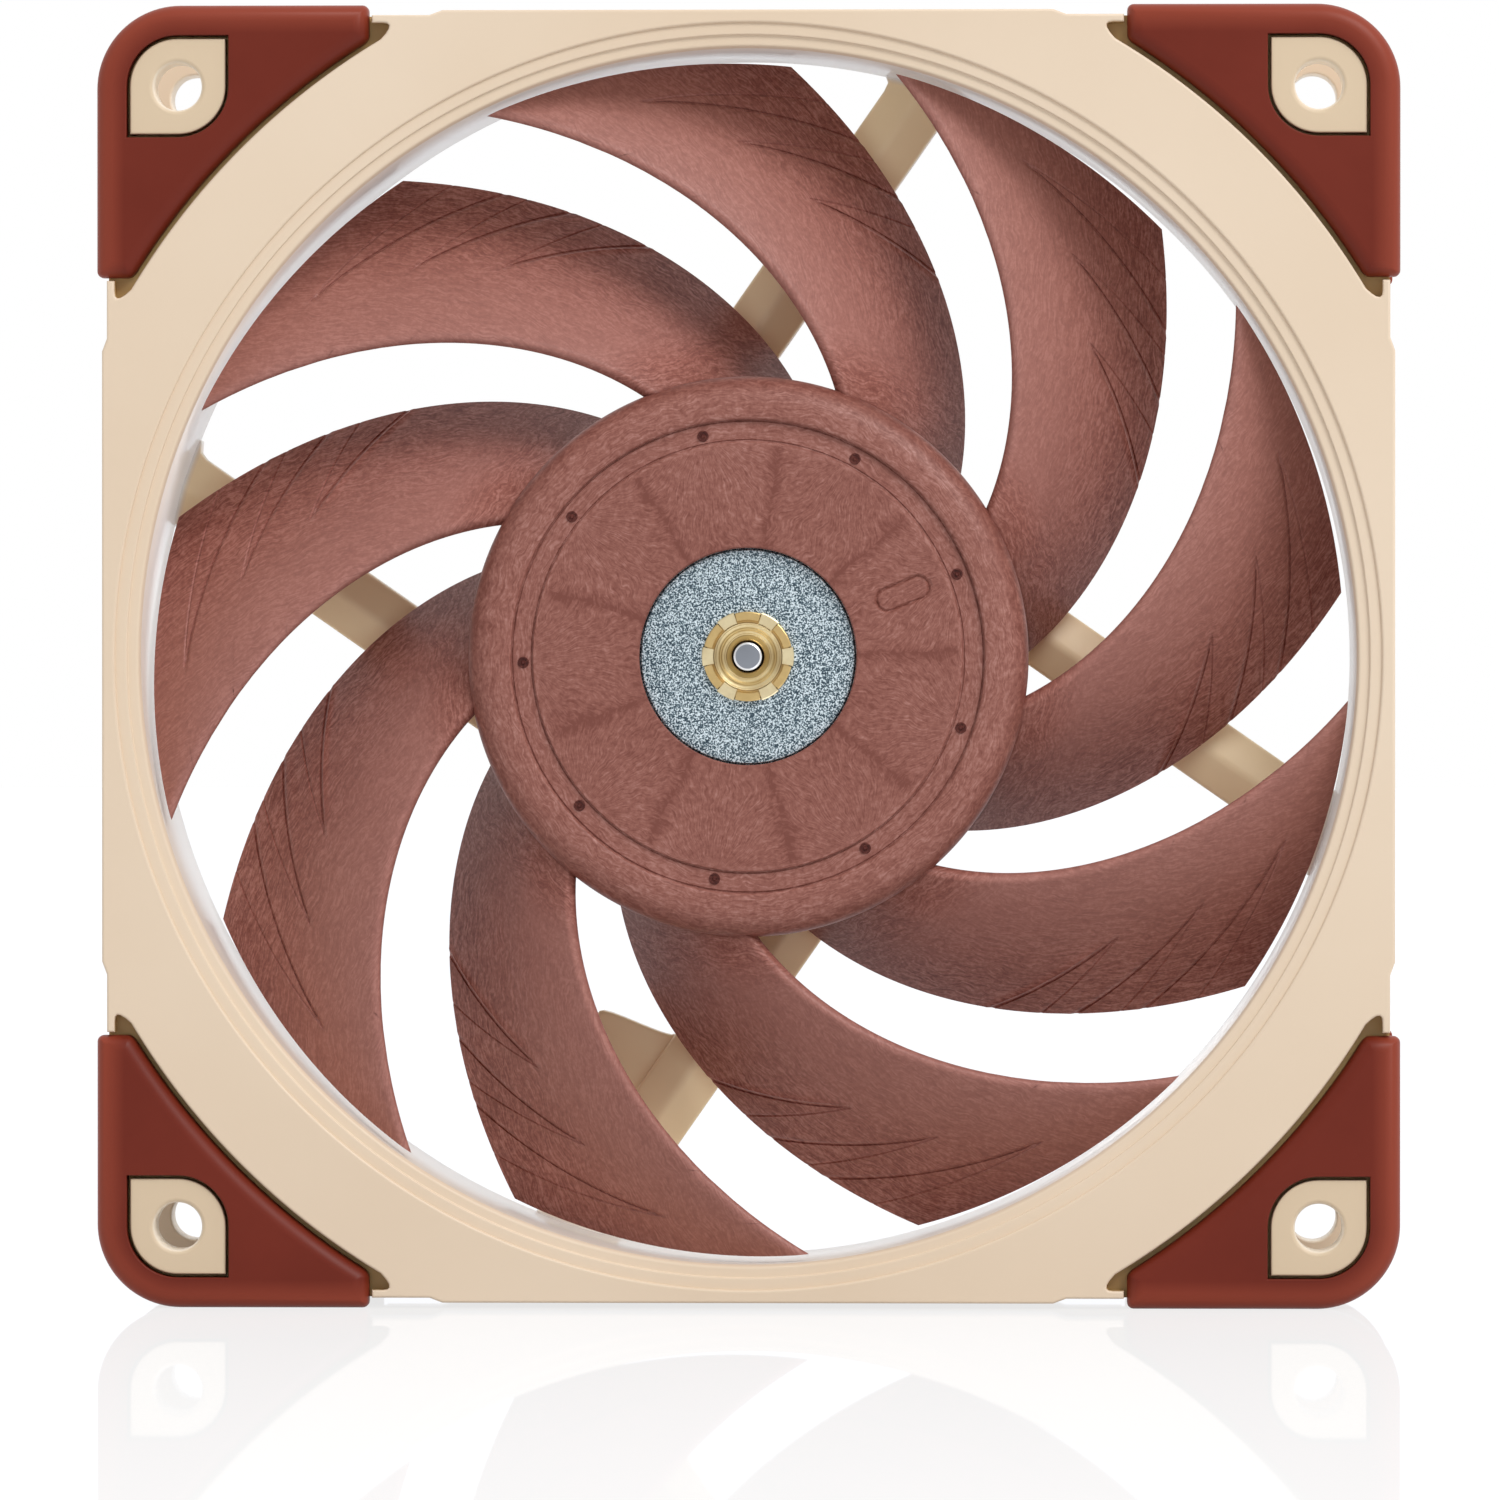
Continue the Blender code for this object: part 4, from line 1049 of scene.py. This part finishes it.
def paint(obj, material):
    obj.data.materials.clear()
    obj.data.materials.append(material)


BEIGE = frame_plastic()
BROWN = fibre_plastic("brown_fibre_plastic", (146, 93, 82), (119, 67, 57), (175, 125, 115), 0.46)
BROWN_DARK = fibre_plastic("gate_scar", (84, 36, 30), (62, 24, 20), (110, 58, 48), 0.5)
# the third colour is the pads' painted edge highlight
RUBBER = rubber("red_brown_rubber", (114, 40, 25), (106, 35, 20), (146, 64, 45), 0.42)
STEEL = speckled_steel()
SHAFT = turned_metal("ground_steel", (250, 250, 250), (236, 238, 240), 0.35, face=(1.1, (146, 150, 158)))
BRASS = turned_brass()
BRONZE = turned_metal("sintered_bronze", (180, 142, 100), (140, 104, 70), 0.5)
LABEL = smooth_plastic("plain_label_paper", (168, 148, 128), (160, 140, 120), 0.5, 0.05)


# Pieces on their bodies

def build_pieces():
    housing = [(frame_moulding(), BEIGE, "beige_plastic", ["frame"]),
               (label(), LABEL, "paper", ["rear_label"])]
    rotor = [(impeller_moulding(), BROWN, "brown_plastic", ["impeller"]),
             (gate_marks(), BROWN_DARK, "brown_plastic", []),
             (cup(), STEEL, "steel", ["rotor_cup"]),
             (brass_boss(), BRASS, "brass", ["shaft_hub"]),
             (shaft_pin(), SHAFT, "steel", ["shaft"])]
    for body, made in (("housing", housing), ("rotor", rotor)):
        for obj, material, slot, nodes in made:
            paint(obj, material)
            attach(obj, body)
            if nodes:
                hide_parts(*nodes)
    for pad in pads():
        paint(pad, RUBBER)
        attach(pad, "housing")


def paint_inner_nodes():
    """The motor's own pieces keep their CAD shapes and get their materials here."""
    looks = {"nylon": smooth_plastic("white_nylon", (214, 212, 204), (200, 198, 190), 0.5),
             "magnet": smooth_plastic("ferrite", (66, 66, 70), (54, 54, 58), 0.65, 0.4),
             "lamination": turned_metal("steel_sheets", (130, 130, 136), (104, 104, 110), 0.45),
             "board": smooth_plastic("solder_mask", (46, 102, 66), (38, 88, 56), 0.35),
             "chip": smooth_plastic("chip_resin", (42, 42, 44), (34, 34, 36), 0.55),
             "copper": wound_copper(), "bronze": BRONZE, "brass": BRASS}
    slots = {part["node"]: part["material_slot"] for part in frame["record"]["subparts"]}
    for name, obj in frame["nodes"].items():
        if not obj.hide_render:
            paint(obj, looks[slots[name]])


# Surroundings

def aim(obj, place, target):
    """Add a camera or a light at its place, turned towards the target."""
    obj.location = place
    obj.rotation_euler = (Vector(target) - Vector(place)).to_track_quat("-Z", "Y").to_euler()
    bpy.context.scene.collection.objects.link(obj)


def area_light(name, place, size, power):
    """A soft rectangular light aimed at the fan's centre."""
    light = bpy.data.lights.new(name, "AREA")
    light.shape = "RECTANGLE"
    light.size, light.size_y = size
    light.energy = power
    aim(bpy.data.objects.new(name, light), place, (0, 0, 0))


def camera():
    lens = bpy.data.cameras.new("camera")
    obj = bpy.data.objects.new("camera", lens)
    place = Vector((0.0262, -0.9625, -0.0046))
    target = Vector((0.0002, -0.0125, -0.0086))
    width = 0.1379              # of the picture, at the target
    aim(obj, place, target)
    lens.sensor_width = 36.0
    lens.lens = lens.sensor_width * (target - place).length / width
    lens.clip_start = 0.01
    bpy.context.scene.camera = obj


def floor():
    mesh = bpy.data.meshes.new("floor")
    reach = 6.0
    corners = [(-reach, -reach, 0), (reach, -reach, 0), (reach, reach, 0), (-reach, reach, 0)]
    mesh.from_pydata(corners, [], [(0, 1, 2, 3)])
    obj = bpy.data.objects.new("floor", mesh)
    obj.location.z = CAD_BOX[0][2]
    paint(obj, floor_material())
    bpy.context.scene.collection.objects.link(obj)


def studio_world():
    """A white backdrop for the camera, which lights the fan more from behind than from in front."""
    world = bpy.data.worlds.new("studio")
    bpy.context.scene.world = world
    world.use_nodes = True
    tree = world.node_tree
    backdrop = tree.nodes["Background"]
    backdrop.inputs["Color"].default_value = (1, 1, 1, 1)
    backdrop.inputs["Strength"].default_value = 1.0
    light, direction, split, spread, seen, choose = [
        tree.nodes.new("ShaderNode" + kind)
        for kind in ("Background", "TexCoord", "SeparateXYZ", "MapRange", "LightPath", "MixShader")]
    for key, number in (("From Min", -0.5), ("From Max", 0.9), ("To Min", 0.83), ("To Max", 1.4)):
        spread.inputs[key].default_value = number
    for source, target in ((direction.outputs["Generated"], split.inputs[0]),
                           (split.outputs["Y"], spread.inputs["Value"]),
                           (spread.outputs[0], light.inputs["Strength"]),
                           (seen.outputs["Is Camera Ray"], choose.inputs[0]),
                           (light.outputs[0], choose.inputs[1]), (backdrop.outputs[0], choose.inputs[2]),
                           (choose.outputs[0], tree.nodes["World Output"].inputs["Surface"])):
        tree.links.new(source, target)


camera()
floor()
studio_world()
area_light("key", (0.85, -1.15, 1.25), (1.0, 0.8), 20.0)
area_light("front", (0.0, -1.6, -0.75), (0.6, 0.6), 35.0)
bpy.context.scene.view_settings.view_transform = "Standard"
build_pieces()
paint_inner_nodes()

bpy.context.view_layer.update()
